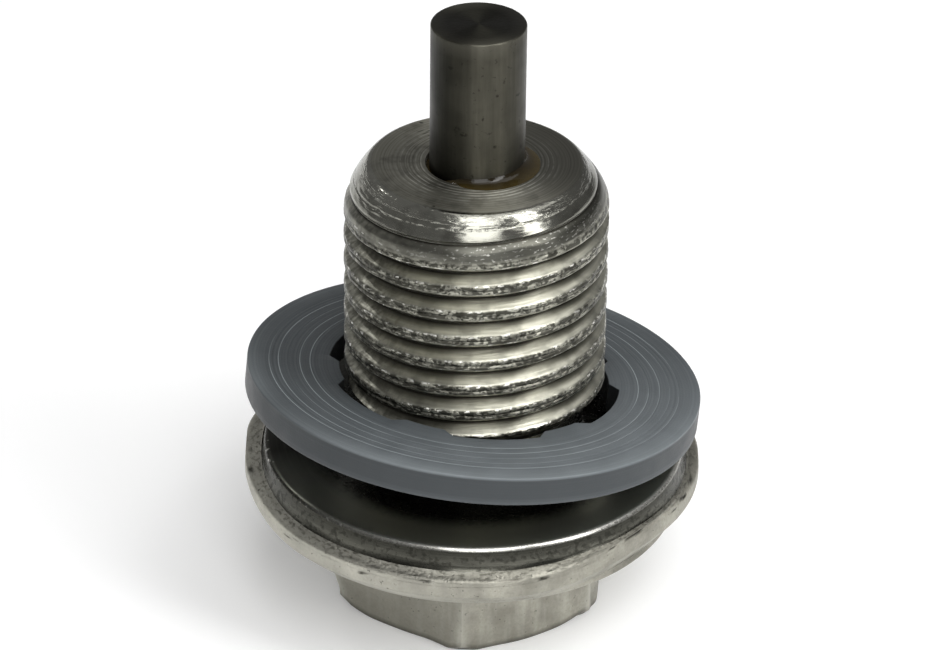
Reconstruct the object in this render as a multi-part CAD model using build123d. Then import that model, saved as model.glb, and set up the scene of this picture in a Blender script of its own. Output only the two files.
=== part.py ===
from build123d import *
import os
from math import radians, tan

# Magnetic oil drain plug, M14 x 1.5. Millimetres, +Z up, standing on its hexagon head.
# The origin is the centre of the hexagon's end face. The shank and the magnet point up.

# Hexagon drive head
HEX_ACROSS_FLATS = 14.0
HEX_HEIGHT = 5.2
HEX_END_RADIUS = 6.85
HEX_CHAMFER_ANGLE = 25.0
HEX_CORNER_ANGLE = -93.6

# Forged flange: a turned land on top of a thicker forged rim
FLANGE_RIM_RADIUS = 12.26
FLANGE_RIM_TOP = 7.1
FLANGE_RIM_BOTTOM = 6.6
FLANGE_SEAL_INSET = 0.96
FLANGE_SEAL_HEIGHT = 8.85
FLANGE_SEAL_CHAMFER = 0.12
FLANGE_LAND_FOOT_INSET = 0.66
FLANGE_LAND_FOOT_HEIGHT = 7.45
FLANGE_LIP_INSET = 0.81
FLANGE_LIP_HEIGHT = 5.65
FLANGE_UNDERSIDE_INSET = 1.36

# Threaded shank. The flank ends in a flatter bevel that stands for the rounded root.
THREAD_MAJOR_RADIUS = 7.0
THREAD_PITCH = 1.5
THREAD_CREST_WIDTH = 0.48
THREAD_FLANK_DEPTH = 0.5
THREAD_FLANK_ANGLE = 30.0
THREAD_ROOT_BEVEL_DEPTH = 0.16
THREAD_ROOT_BEVEL_ANGLE = 45.0
THREAD_ROOT_AT_FRONT = 24.04
THREAD_ANCHOR = 0.05
SHANK_END_HEIGHT = 25.65
POINT_FACE_RADIUS = 6.0
POINT_CHAMFER_ANGLE = 37.5
NECK_RADIUS = 5.85
NECK_HEIGHT = 3.0
NECK_ROOT_CHAMFER = 0.4
NECK_TOP_ANGLE = 45.0

# Magnet, glued into a drilled hole
MAGNET_RADIUS = 2.5
MAGNET_LENGTH = 15.0
MAGNET_STANDOUT = 8.07
MAGNET_EDGE_CHAMFER = 0.08
MAGNET_HOLE_GAP = 0.2
DRILL_POINT_ANGLE = 118.0

# Adhesive: a sleeve in the hole's gap and an uneven bead round the magnet's foot
ADHESIVE_CLEARANCE = 0.01
SLEEVE_SHORTFALL = 0.35
BEAD_RADIUS = 2.92
BEAD_SHIFT = 0.5
BEAD_SHIFT_ANGLE = -25.0
BEAD_HEIGHT = 0.5
BEAD_SHOULDER_REACH = 0.36
BEAD_SHOULDER_HEIGHT = 0.24
BEAD_EDGE_THICKNESS = 0.04

# Sealing washer with teeth in its bore, as wide as the flange, hanging askew on the thread
WASHER_INSET = 0.03
WASHER_THICKNESS = 1.57
WASHER_EDGE_CHAMFER = 0.1
WASHER_BORE_GAP = 0.8
TOOTH_COUNT = 6
TOOTH_TIP_CLEARANCE = 0.25
TOOTH_TIP_WIDTH = 2.1
TOOTH_ROOT_WIDTH = 4.2
TOOTH_PHASE = 9.1
WASHER_OFF_CENTRE = -0.07
WASHER_RAISE = 2.36
WASHER_TILT = 7.1
WASHER_LOW_SIDE_ANGLE = 44.6

# Values that follow from the sizes above
THREAD_ROOT_RADIUS = THREAD_MAJOR_RADIUS - THREAD_FLANK_DEPTH - THREAD_ROOT_BEVEL_DEPTH
THREAD_START_HEIGHT = FLANGE_SEAL_HEIGHT + NECK_HEIGHT
MAGNET_HOLE_RADIUS = MAGNET_RADIUS + MAGNET_HOLE_GAP
MAGNET_TOP_HEIGHT = SHANK_END_HEIGHT + MAGNET_STANDOUT
MAGNET_FOOT_HEIGHT = MAGNET_TOP_HEIGHT - MAGNET_LENGTH
WASHER_RADIUS = FLANGE_RIM_RADIUS - WASHER_INSET
WASHER_BORE_RADIUS = THREAD_MAJOR_RADIUS + WASHER_BORE_GAP
WASHER_TOP_HEIGHT = FLANGE_SEAL_HEIGHT + WASHER_RAISE + WASHER_THICKNESS
TOOTH_TIP_RADIUS = THREAD_MAJOR_RADIUS + TOOTH_TIP_CLEARANCE


def upright_cylinder(radius, bottom, top):
    """A cylinder on the plug's axis between two heights."""
    return Pos(0, 0, bottom) * Cylinder(radius, top - bottom, align=(Align.CENTER, Align.CENTER, Align.MIN))


def turned(*points):
    """A solid turned about the plug's axis from an outline of (radius, height) points."""
    return revolve(Plane.XZ * Polygon(*points, align=None), Axis.Z)


def hexagon_head():
    """The hexagon, with its end turned to a shallow cone that leaves a round face to stand on."""
    hexagon = extrude(
        RegularPolygon(HEX_ACROSS_FLATS / 2, 6, major_radius=False, rotation=HEX_CORNER_ANGLE),
        HEX_HEIGHT,
    )
    corner_reach = HEX_ACROSS_FLATS
    chamfer_rise = (corner_reach - HEX_END_RADIUS) * tan(radians(HEX_CHAMFER_ANGLE))
    end_cone = turned(
        (0, 0),
        (HEX_END_RADIUS, 0),
        (corner_reach, chamfer_rise),
        (corner_reach, chamfer_rise + HEX_HEIGHT),
        (0, chamfer_rise + HEX_HEIGHT),
    )
    return hexagon & end_cone


def flange():
    """The forged flange: underside, lip, thick rim, and the turned land under the seal face."""
    seal_radius = FLANGE_RIM_RADIUS - FLANGE_SEAL_INSET
    return turned(
        (0, HEX_HEIGHT),
        (FLANGE_RIM_RADIUS - FLANGE_UNDERSIDE_INSET, HEX_HEIGHT),
        (FLANGE_RIM_RADIUS - FLANGE_LIP_INSET, FLANGE_LIP_HEIGHT),
        (FLANGE_RIM_RADIUS, FLANGE_RIM_BOTTOM),
        (FLANGE_RIM_RADIUS, FLANGE_RIM_TOP),
        (FLANGE_RIM_RADIUS - FLANGE_LAND_FOOT_INSET, FLANGE_LAND_FOOT_HEIGHT),
        (seal_radius, FLANGE_SEAL_HEIGHT - FLANGE_SEAL_CHAMFER),
        (seal_radius - FLANGE_SEAL_CHAMFER, FLANGE_SEAL_HEIGHT),
        (0, FLANGE_SEAL_HEIGHT),
    )


def thread_ridge(bottom, top):
    """The thread's one helical ridge: ruled strips between helices, closed by a flat polygon at each end.

    The ridge starts on +X with its crest's middle at the bottom height.
    """
    crest = THREAD_CREST_WIDTH / 2
    flank_foot = crest + THREAD_FLANK_DEPTH * tan(radians(THREAD_FLANK_ANGLE))
    bevel_depth = THREAD_ROOT_BEVEL_DEPTH + THREAD_ANCHOR
    bevel_foot = flank_foot + bevel_depth * tan(radians(THREAD_ROOT_BEVEL_ANGLE))
    upper_half = [
        (THREAD_MAJOR_RADIUS, crest),
        (THREAD_MAJOR_RADIUS - THREAD_FLANK_DEPTH, flank_foot),
        (THREAD_ROOT_RADIUS - THREAD_ANCHOR, bevel_foot),
    ]
    lower_half = [(radius, -height) for radius, height in reversed(upper_half)]
    helices = [
        Helix(THREAD_PITCH, top - bottom, radius, center=(0, 0, bottom + height))
        for radius, height in upper_half + lower_half
    ]
    strips = [
        Face.make_surface_from_curves(helix.edge(), following.edge())
        for helix, following in zip(helices, helices[1:] + helices[:1])
    ]
    ends = [Face(Wire.make_polygon([helix @ place for helix in helices])) for place in (0, 1)]
    return Solid(Shell(strips + ends))


def threaded_shank():
    """The shank: a core with one helical ridge, trimmed by the chamfered point and the foot of the thread."""
    # A helix passes the front a quarter turn before its start, so a ridge that starts on +X a quarter pitch
    # above a groove's height at the front, less half a pitch, leaves the groove at that height there.
    turns_above_foot = 2 + int((THREAD_ROOT_AT_FRONT - THREAD_START_HEIGHT) / THREAD_PITCH)
    ridge_bottom = THREAD_ROOT_AT_FRONT + THREAD_PITCH * (1 / 4 + 1 / 2 - turns_above_foot)
    ridge_top = SHANK_END_HEIGHT + THREAD_PITCH
    core = upright_cylinder(THREAD_ROOT_RADIUS, ridge_bottom - THREAD_PITCH, ridge_top + THREAD_PITCH)

    reach = THREAD_MAJOR_RADIUS + THREAD_PITCH
    foot_rise = (reach - NECK_RADIUS) / tan(radians(NECK_TOP_ANGLE))
    point_fall = (reach - POINT_FACE_RADIUS) / tan(radians(POINT_CHAMFER_ANGLE))
    envelope = turned(
        (0, THREAD_START_HEIGHT),
        (NECK_RADIUS, THREAD_START_HEIGHT),
        (reach, THREAD_START_HEIGHT + foot_rise),
        (reach, SHANK_END_HEIGHT - point_fall),
        (POINT_FACE_RADIUS, SHANK_END_HEIGHT),
        (0, SHANK_END_HEIGHT),
    )
    return (core + thread_ridge(ridge_bottom, ridge_top)) & envelope


def relief_neck():
    """The plain neck between the seal face and the thread, with a small cone at its root on the seal face."""
    return turned(
        (0, FLANGE_SEAL_HEIGHT),
        (NECK_RADIUS + NECK_ROOT_CHAMFER, FLANGE_SEAL_HEIGHT),
        (NECK_RADIUS, FLANGE_SEAL_HEIGHT + NECK_ROOT_CHAMFER),
        (NECK_RADIUS, THREAD_START_HEIGHT),
        (0, THREAD_START_HEIGHT),
    )


def magnet_hole():
    """The drilled blind hole: a straight wall and the cone that the drill's point leaves."""
    cone_depth = MAGNET_HOLE_RADIUS / tan(radians(DRILL_POINT_ANGLE / 2))
    return turned(
        (0, MAGNET_FOOT_HEIGHT - cone_depth),
        (MAGNET_HOLE_RADIUS, MAGNET_FOOT_HEIGHT),
        (MAGNET_HOLE_RADIUS, SHANK_END_HEIGHT + THREAD_PITCH),
        (0, SHANK_END_HEIGHT + THREAD_PITCH),
    )


def plug_body():
    """The steel plug, forged, turned and threaded in one piece."""
    return hexagon_head() + flange() + relief_neck() + threaded_shank() - magnet_hole()


def magnet():
    """The bar magnet, with both ends lightly broken."""
    bar = upright_cylinder(MAGNET_RADIUS, MAGNET_FOOT_HEIGHT, MAGNET_TOP_HEIGHT)
    ends = bar.edges().filter_by(GeomType.CIRCLE)
    return chamfer(ends, MAGNET_EDGE_CHAMFER)


def magnet_adhesive():
    """The adhesive: a sleeve that stops short of the hole's mouth, and a bead that runs off to one side."""
    inner = MAGNET_RADIUS + ADHESIVE_CLEARANCE
    outer = MAGNET_HOLE_RADIUS - ADHESIVE_CLEARANCE
    bead_floor = SHANK_END_HEIGHT + ADHESIVE_CLEARANCE
    sleeve = upright_cylinder(outer, MAGNET_FOOT_HEIGHT + MAGNET_HOLE_GAP, SHANK_END_HEIGHT - SLEEVE_SHORTFALL)
    gap_fill = upright_cylinder(outer, MAGNET_FOOT_HEIGHT + MAGNET_HOLE_GAP, bead_floor)

    # The bead is turned about an axis beside the magnet's, so it is wide on one side and fades on the other.
    crown_radius = MAGNET_RADIUS - BEAD_SHIFT
    shift = Rot(Z=BEAD_SHIFT_ANGLE) * Pos(BEAD_SHIFT, 0, 0)
    bead = shift * turned(
        (0, bead_floor),
        (BEAD_RADIUS, bead_floor),
        (BEAD_RADIUS, bead_floor + BEAD_EDGE_THICKNESS),
        (crown_radius + BEAD_SHOULDER_REACH, bead_floor + BEAD_SHOULDER_HEIGHT),
        (crown_radius, bead_floor + BEAD_HEIGHT),
        (0, bead_floor + BEAD_HEIGHT),
    )
    under_bead = shift * upright_cylinder(BEAD_RADIUS - BEAD_EDGE_THICKNESS, MAGNET_FOOT_HEIGHT, bead_floor)
    bar = upright_cylinder(inner, MAGNET_FOOT_HEIGHT - MAGNET_HOLE_GAP, MAGNET_TOP_HEIGHT)
    return sleeve + (gap_fill & under_bead) + bead - bar


def washer_bore():
    """The bore's outline: a circle with straight-sided teeth left standing inwards, their tips on a smaller circle."""
    root = WASHER_BORE_RADIUS
    tooth = Polygon(
        (root + WASHER_THICKNESS, -TOOTH_ROOT_WIDTH / 2),
        (root, -TOOTH_ROOT_WIDTH / 2),
        (TOOTH_TIP_RADIUS, -TOOTH_TIP_WIDTH / 2),
        (TOOTH_TIP_RADIUS - TOOTH_TIP_CLEARANCE, -TOOTH_TIP_WIDTH / 2),
        (TOOTH_TIP_RADIUS - TOOTH_TIP_CLEARANCE, TOOTH_TIP_WIDTH / 2),
        (TOOTH_TIP_RADIUS, TOOTH_TIP_WIDTH / 2),
        (root, TOOTH_ROOT_WIDTH / 2),
        (root + WASHER_THICKNESS, TOOTH_ROOT_WIDTH / 2),
        align=None,
    )
    bore = Circle(root)
    for index in range(TOOTH_COUNT):
        bore -= Rot(Z=TOOTH_PHASE + index * 360 / TOOTH_COUNT) * tooth
    return bore + Circle(TOOTH_TIP_RADIUS)


def sealing_washer():
    """The washer, made flat with its top at the origin, then tilted and lifted to where it hangs on the thread."""
    flat = extrude(Circle(WASHER_RADIUS) - washer_bore(), -WASHER_THICKNESS)
    rims = flat.edges().filter_by(GeomType.CIRCLE).group_by(SortBy.RADIUS)[-1]
    flat = chamfer(rims, WASHER_EDGE_CHAMFER)
    tilt = Rot(Z=WASHER_LOW_SIDE_ANGLE) * Rot(Y=WASHER_TILT) * Rot(Z=-WASHER_LOW_SIDE_ANGLE)
    return Pos(WASHER_OFF_CENTRE, 0, WASHER_TOP_HEIGHT) * tilt * flat


PIECES = {
    "plug_body": plug_body,
    "magnet": magnet,
    "magnet_adhesive": magnet_adhesive,
    "sealing_washer": sealing_washer,
}

os.makedirs("parts", exist_ok=True)
for name, make_piece in PIECES.items():
    export_step(make_piece(), f"parts/{name}.step")
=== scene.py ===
# A magnetic oil drain plug, dressed around its solid model and photographed on a pale floor.
import logging
from dataclasses import dataclass, field
from enum import Enum
from functools import reduce
from math import cos, pi, radians, sin, tan

import bmesh
import bpy
import numpy as np
from mathutils import Matrix, Vector


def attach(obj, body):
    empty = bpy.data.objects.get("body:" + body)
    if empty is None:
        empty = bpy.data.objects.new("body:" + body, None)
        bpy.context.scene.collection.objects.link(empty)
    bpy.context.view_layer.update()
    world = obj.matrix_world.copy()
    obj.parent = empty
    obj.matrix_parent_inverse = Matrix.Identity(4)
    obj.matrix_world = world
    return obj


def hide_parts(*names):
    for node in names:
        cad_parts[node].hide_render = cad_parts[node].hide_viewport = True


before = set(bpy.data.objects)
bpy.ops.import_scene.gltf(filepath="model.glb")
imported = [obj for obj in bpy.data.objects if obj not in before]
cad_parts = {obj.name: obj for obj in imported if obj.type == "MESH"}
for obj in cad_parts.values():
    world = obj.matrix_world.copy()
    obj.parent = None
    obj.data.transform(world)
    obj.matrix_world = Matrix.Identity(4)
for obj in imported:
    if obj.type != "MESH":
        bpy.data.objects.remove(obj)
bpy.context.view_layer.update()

MM = 0.001
BODY = "root"
LOG = logging.getLogger("drain_plug")

Colour = tuple[float, float, float]
Triple = tuple[float, float, float]
Array = np.ndarray
Socket = bpy.types.NodeSocket
Value = Socket | float
Paint = Socket | Colour


class Slot(Enum):
    """The record's material slots."""

    STEEL = "plated_steel"
    MAGNET = "magnet_alloy"
    ADHESIVE = "amber_adhesive"
    NYLON = "grey_nylon"


class Zone(Enum):
    """The finishes of the steel plug, in the order of its material slots."""

    FORGED = 0
    TURNED = 1
    THREAD = 2
    END = 3


# Shapes worked out as arrays


def smooth_noise(shape: tuple[int, int], spans: tuple[float, float], rng: np.random.Generator) -> Array:
    """Random hills over a grid that repeats both ways.

    White noise is multiplied in frequency space by exp(-2 (pi f span)^2), which blurs it with a bell
    curve of that span, and is then scaled to a deviation of one.

    Args:
        shape: Rows and columns.
        spans: The bell curve's width down the rows and along the columns, in cells.
        rng: The seeded source of random numbers.

    Returns:
        An array of that shape with mean nought and deviation one.
    """
    rows, columns = (np.fft.fftfreq(count)[:, None] * span for count, span in zip(shape, spans))
    blur = np.exp(-2 * (pi * rows) ** 2) * np.exp(-2 * (pi * columns.T) ** 2)
    field_values = np.fft.ifft2(np.fft.fft2(rng.standard_normal(shape)) * blur).real
    return (field_values - field_values.mean()) / field_values.std()


def smooth_step(value: Array, low: float, high: float) -> Array:
    """Nought below low, one above high, and 3t^2 - 2t^3 between them."""
    share = np.clip((value - low) / (high - low), 0, 1)
    return share * share * (3 - 2 * share)


def soft_minimum(first: Array, second: Array, reach: float) -> Array:
    """The smaller of two arrays, rounded over by h^2 reach / 4 where they come within reach of each other."""
    blend = np.maximum(reach - np.abs(first - second), 0) / reach
    return np.minimum(first, second) - blend * blend * reach / 4


def rounded_outline(corners: list[Triple], steps: int = 5) -> Array:
    """An outline of straight runs whose corners are arcs.

    At each corner the arc touches both runs at a distance of radius times the tangent of half the turn.

    Args:
        corners: The (radius from the axis, height, corner rounding) of each corner, in order.
        steps: How many spans each arc has.

    Returns:
        The outline's points, one (radius, height) per row.
    """
    places = np.array([corner[:2] for corner in corners])
    outline = [places[0]]
    for before, here, after, rounding in zip(places, places[1:], places[2:], [c[2] for c in corners[1:]]):
        if rounding == 0:
            outline.append(here)
            continue
        back = (before - here) / np.linalg.norm(before - here)
        on = (after - here) / np.linalg.norm(after - here)
        half_inside = np.arccos(np.clip(back @ on, -1, 1)) / 2
        middle = (back + on) / np.linalg.norm(back + on)
        centre = here + middle * rounding / np.sin(half_inside)
        first = here + back * rounding / np.tan(half_inside) - centre
        last = here + on * rounding / np.tan(half_inside) - centre
        start = np.arctan2(first[1], first[0])
        sweep = (np.arctan2(last[1], last[0]) - start + pi) % (2 * pi) - pi
        angles = start + sweep * np.linspace(0, 1, steps + 1)
        outline.extend(centre + rounding * np.stack([np.cos(angles), np.sin(angles)], axis=1))
    outline.append(places[-1])
    return np.array(outline)


def refined(outline: Array, longest: float) -> Array:
    """The same outline with points added evenly so that no span is longer than the given length.

    Args:
        outline: The points, one (radius, height) per row.
        longest: The longest span allowed.

    Returns:
        The longer list of points.
    """
    pieces = []
    for start, end in zip(outline, outline[1:]):
        count = max(1, int(np.ceil(np.linalg.norm(end - start) / longest)))
        pieces.append(start + (end - start) * np.arange(count)[:, None] / count)
    return np.vstack(pieces + [outline[-1:]])


@dataclass
class Surface:
    """Rows of points round an axis, joined into a closed skin: radius and height at each angle.

    A point is (radius cos angle, radius sin angle, height). Masks are numbers per point that the finish
    reads as attributes. The zone of a row is the finish of the faces between it and the next row.
    """

    angles: Array
    radius: Array
    height: Array
    zones: Array
    masks: dict[str, Array] = field(default_factory=dict)

    def points(self) -> Array:
        """The grid of points, rows by columns by three, in millimetres."""
        return np.stack([self.radius * np.cos(self.angles), self.radius * np.sin(self.angles), self.height], axis=2)


def turned_surface(angles: Array, outline: Array, zone: int) -> Surface:
    """An outline carried round the axis, the same at every angle.

    Args:
        angles: The columns' angles in radians.
        outline: (radius, height) points.
        zone: The number of its finish.

    Returns:
        The surface.
    """
    ones = np.ones_like(angles)
    return Surface(
        angles=angles,
        radius=outline[:, :1] * ones,
        height=outline[:, 1:] * ones,
        zones=np.full(len(outline), zone),
    )


def stacked(parts: list[Surface]) -> Surface:
    """Surfaces with the same columns, joined end to end in order. A mask that a part lacks is nought there.

    Args:
        parts: The surfaces, in order.

    Returns:
        The one surface.
    """
    names = {name for part in parts for name in part.masks}
    return Surface(
        angles=parts[0].angles,
        radius=np.vstack([part.radius for part in parts]),
        height=np.vstack([part.height for part in parts]),
        zones=np.concatenate([part.zones for part in parts]),
        masks={
            name: np.vstack([part.masks.get(name, np.zeros_like(part.radius)) for part in parts]) for name in names
        },
    )


def ring_faces(rows: int, columns: int) -> Array:
    """Four-sided faces between neighbouring rows and columns, the last column joined to the first.

    Args:
        rows: How many rows of points.
        columns: How many columns.

    Returns:
        Point numbers, with the four of each face last.
    """
    row = np.arange(rows - 1)[:, None]
    column = np.arange(columns)[None, :]
    after = (column + 1) % columns
    corners = [row * columns + column, row * columns + after, (row + 1) * columns + after, (row + 1) * columns + column]
    return np.stack(corners, axis=2)


def add_mesh(
    name: str,
    points: Array,
    faces: Array,
    zones: Array | None = None,
    masks: dict[str, Array] | None = None,
    sharp_angle: float = 35.0,
) -> bpy.types.Object:
    """Make a piece from a grid of points: twin points are merged and sharp edges are kept crisp.

    Args:
        name: The piece's name.
        points: Point coordinates in millimetres, any leading shape by three.
        faces: Point numbers, any leading shape by four.
        zones: The material number of each face.
        masks: Numbers per point, by attribute name.
        sharp_angle: Edges that turn by more than this many degrees are not shaded smooth.

    Returns:
        The new object, linked to the scene.
    """
    mesh = bpy.data.meshes.new(name)
    mesh.from_pydata((points.reshape(-1, 3) * MM).tolist(), [], faces.reshape(-1, 4).tolist())
    if zones is not None:
        mesh.polygons.foreach_set("material_index", zones.ravel().astype(np.int32))
    for mask_name, values in (masks or {}).items():
        attribute = mesh.attributes.new(mask_name, "FLOAT", "POINT")
        attribute.data.foreach_set("value", values.ravel().astype(np.float32))
    shell = bmesh.new()
    shell.from_mesh(mesh)
    bmesh.ops.remove_doubles(shell, verts=shell.verts, dist=0.0005 * MM)
    shell.to_mesh(mesh)
    shell.free()
    mesh.set_sharp_from_angle(angle=radians(sharp_angle))
    piece = bpy.data.objects.new(name, mesh)
    bpy.context.scene.collection.objects.link(piece)
    return piece


# Finishes worked out as nodes


@dataclass(frozen=True)
class Patches:
    """Irregular patches: noise of a grain in millimetres, cut at a level with a soft edge, and its detail."""

    grain: float
    level: float
    softness: float
    detail: float = 3.0


@dataclass(frozen=True)
class Side:
    """A direction round the axis: an effect is full within near degrees of the azimuth and ends at far degrees."""

    azimuth: float
    near: float
    far: float


class Board:
    """Places and links the nodes of one node tree."""

    def __init__(self, tree: bpy.types.NodeTree, groups: "SharedGroups | None" = None) -> None:
        """Keep the tree that this board fills and the shared groups that it may place."""
        self.tree = tree
        self.groups = groups

    def put(self, kind: str, inputs: dict | None = None, **settings: object) -> bpy.types.Node:
        """Add one node.

        Args:
            kind: The node's type, without the ShaderNode that starts its name.
            inputs: Input names or numbers, each with a socket to link or a value to set.
            settings: Properties of the node itself.

        Returns:
            The new node.
        """
        node = self.tree.nodes.new("ShaderNode" + kind)
        for name, value in settings.items():
            setattr(node, name, value)
        for key, value in (inputs or {}).items():
            if isinstance(value, Socket):
                self.tree.links.new(value, node.inputs[key])
            else:
                node.inputs[key].default_value = value
        return node

    def math(self, operation: str, *values: Value) -> Socket:
        """The result of one arithmetic step on sockets or numbers."""
        return self.put("Math", dict(enumerate(values)), operation=operation).outputs[0]

    def vector_math(self, operation: str, *values: Socket | Triple) -> Socket:
        """The result of one step on vectors: a number for a length or a dot product, and else a vector."""
        node = self.put("VectorMath", dict(enumerate(values)), operation=operation)
        return node.outputs["Value" if operation in ("LENGTH", "DOT_PRODUCT") else "Vector"]

    def times(self, *values: Value) -> Socket:
        """The product of sockets or numbers.

        Args:
            values: The sockets or numbers.

        Returns:
            The product's socket.
        """
        product = values[0]
        for value in values[1:]:
            product = self.math("MULTIPLY", product, value)
        return product

    def most(self, first: Value, second: Value) -> Socket:
        """The larger of two sockets or numbers."""
        return self.math("MAXIMUM", first, second)

    def rest(self, value: Value) -> Socket:
        """What a share leaves of one."""
        return self.math("SUBTRACT", 1.0, value)

    def raised(self, level: float, value: Value, by: float) -> Socket:
        """A level with a socket times a number added to it."""
        return self.math("ADD", level, self.times(value, by))

    def share(self, value: Value, none: Value, full: Value) -> Socket:
        """Nought where a value is at none, one where it is at full, and even between them."""
        return self.put("MapRange", {0: value, 1: none, 2: full}).outputs[0]

    def colour_mix(self, share: Value, first: Paint, second: Paint) -> Socket:
        """Two colours mixed, by a share that is a socket or a number."""
        inputs = {0: share, 6: self.rgba(first), 7: self.rgba(second)}
        return self.put("Mix", inputs, data_type="RGBA").outputs[2]

    def tint(self, base: Paint, colour: Colour, share: Value, strength: Value) -> Socket:
        """A base colour moved towards another by a share of the given strength."""
        return self.colour_mix(self.times(share, strength), base, colour)

    def number_mix(self, share: Value, first: Value, second: Value) -> Socket:
        """Two numbers mixed, by a share that is a socket or a number."""
        return self.put("Mix", {0: share, 2: first, 3: second}, data_type="FLOAT").outputs[0]

    @staticmethod
    def rgba(colour: Paint) -> Socket | tuple[float, ...]:
        """A colour of three numbers with its alpha added, or a socket as it is."""
        return colour if isinstance(colour, Socket) else (*colour, 1.0)

    def ramp(self, share: Socket, stops: list[tuple[float, Colour]]) -> Socket:
        """A colour that runs through stops as the share goes from nought to one.

        Args:
            share: The socket with the share.
            stops: Places from nought to one, each with its colour.

        Returns:
            The colour's socket.
        """
        node = self.put("ValToRGB", {0: share})
        elements = node.color_ramp.elements
        while len(elements) < len(stops):
            elements.new(1.0)
        for element, (place, colour) in zip(elements, stops):
            element.position = place
            element.color = (*colour, 1.0)
        return node.outputs[0]

    def millimetres(self, stretch: Triple = (1, 1, 1), tilt: Matrix | None = None) -> Socket:
        """The point's own place in millimetres, turned back by a tilt and then stretched along the axes.

        Args:
            stretch: How far the place is stretched along each axis.
            tilt: The turn and shift to undo, if any.

        Returns:
            The place's socket.
        """
        place = self.put("TexCoord").outputs["Object"]
        if tilt is not None:
            back = tilt.inverted()
            turned = {"Vector": place, "Location": back.translation, "Rotation": back.to_euler()}
            place = self.put("Mapping", turned, vector_type="POINT").outputs[0]
        return self.vector_math("MULTIPLY", place, tuple(share / MM for share in stretch))

    def level_place(self, place: Socket) -> Socket:
        """A place with its height left out."""
        return self.vector_math("MULTIPLY", place, (1, 1, 0))

    def radius(self, place: Socket) -> Socket:
        """How far a place lies from the axis."""
        return self.vector_math("LENGTH", self.level_place(place))

    def height(self, place: Socket) -> Socket:
        """How high a place lies."""
        return self.put("SeparateXYZ", {0: place}).outputs[2]

    def facing(self, place: Socket, side: Side) -> Socket:
        """One where a place lies on a side of the axis, fading to nought away from it.

        Args:
            place: The socket with the point's place in millimetres.
            side: The side.

        Returns:
            The share's socket.
        """
        ahead = (cos(radians(side.azimuth)), sin(radians(side.azimuth)), 0)
        along = self.vector_math("DOT_PRODUCT", self.vector_math("NORMALIZE", self.level_place(place)), ahead)
        return self.share(along, cos(radians(side.far)), cos(radians(side.near)))

    def spot(self, place: Socket, centre: Triple, size: Triple, turn: float = 0.0) -> Socket:
        """One soft oval mark.

        Args:
            place: The socket with the point's place in millimetres.
            centre: The mark's middle, in millimetres.
            size: Its half sizes, in millimetres.
            turn: How far it is turned about the vertical, in degrees.

        Returns:
            A socket that is one within the mark and fades to nought at its edge.
        """
        beside = self.vector_math("SUBTRACT", place, centre)
        if turn:
            turned = {"Vector": beside, "Angle": radians(turn)}
            beside = self.put("VectorRotate", turned, rotation_type="Z_AXIS").outputs[0]
        reach = self.vector_math("LENGTH", self.vector_math("DIVIDE", beside, size))
        return self.share(reach, none=1.0, full=0.45)

    def mask(self, name: str) -> Socket:
        """A number that the mesh carries per point."""
        return self.put("Attribute", attribute_name=name, attribute_type="GEOMETRY").outputs["Fac"]

    def patches(self, place: Socket, kind: Patches) -> Socket:
        """Irregular patches of the given kind, from the shared group."""
        inputs = {"Place": place, "Grain": kind.grain, "Level": kind.level, "Softness": kind.softness}
        return self.put("Group", inputs | {"Detail": kind.detail}, node_tree=self.groups.patches).outputs[0]

    def turning_lines(self, place: Socket, pitch_mm: float) -> Socket:
        """Lathe lines of the given pitch, from the shared group."""
        return self.put("Group", {"Place": place, "Pitch": pitch_mm}, node_tree=self.groups.turning_lines).outputs[0]

    def bump(self, height: Socket, depth_mm: float) -> Socket:
        """A normal tipped by a height socket, for a relief of the given depth in millimetres."""
        return self.put("Bump", {"Height": height, "Distance": depth_mm * MM, "Strength": 1.0}).outputs[0]


def open_group(name: str, numbers: dict[str, float]) -> tuple[Board, bpy.types.Node, bpy.types.Node]:
    """Start a shared group with a Place vector input, number inputs and one number output named Mask.

    Args:
        name: The group's name.
        numbers: Names of the number inputs, with their usual values.

    Returns:
        The board that fills it, its input node and its output node.
    """
    tree = bpy.data.node_groups.new(name, "ShaderNodeTree")
    tree.interface.new_socket("Place", in_out="INPUT", socket_type="NodeSocketVector")
    for label, usual in numbers.items():
        tree.interface.new_socket(label, in_out="INPUT", socket_type="NodeSocketFloat").default_value = usual
    tree.interface.new_socket("Mask", in_out="OUTPUT", socket_type="NodeSocketFloat")
    return Board(tree), tree.nodes.new("NodeGroupInput"), tree.nodes.new("NodeGroupOutput")


def make_patches() -> bpy.types.NodeTree:
    """Irregular patches: noise of the given grain in millimetres, cut at a level with a soft edge.

    Returns:
        The group's tree.
    """
    board, given, result = open_group("patches", {"Grain": 1.0, "Level": 0.5, "Softness": 0.1, "Detail": 3.0})
    place, grain, level, softness, detail = list(given.outputs)[:5]
    noise = board.put("TexNoise", {"Vector": place, "Scale": board.math("DIVIDE", 1.0, grain), "Detail": detail})
    spread = board.share(noise.outputs[0], none=level, full=board.math("ADD", level, softness))
    board.tree.links.new(spread, result.inputs[0])
    return board.tree


def make_turning_lines() -> bpy.types.NodeTree:
    """Lathe lines: one-way noise along radius plus height, so that they ring the axis on faces and walls alike.

    Returns:
        The group's tree.
    """
    board, given, result = open_group("turning_lines", {"Pitch": 0.2})
    place, pitch = list(given.outputs)[:2]
    along = board.math("DIVIDE", board.math("ADD", board.radius(place), board.height(place)), pitch)
    lines = board.put("TexNoise", {"W": along, "Scale": 1.0, "Detail": 2.0}, noise_dimensions="1D")
    board.tree.links.new(lines.outputs[0], result.inputs[0])
    return board.tree


@dataclass
class SharedGroups:
    """The node groups that several finishes place with their own values."""

    patches: bpy.types.NodeTree = field(default_factory=make_patches)
    turning_lines: bpy.types.NodeTree = field(default_factory=make_turning_lines)


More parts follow.
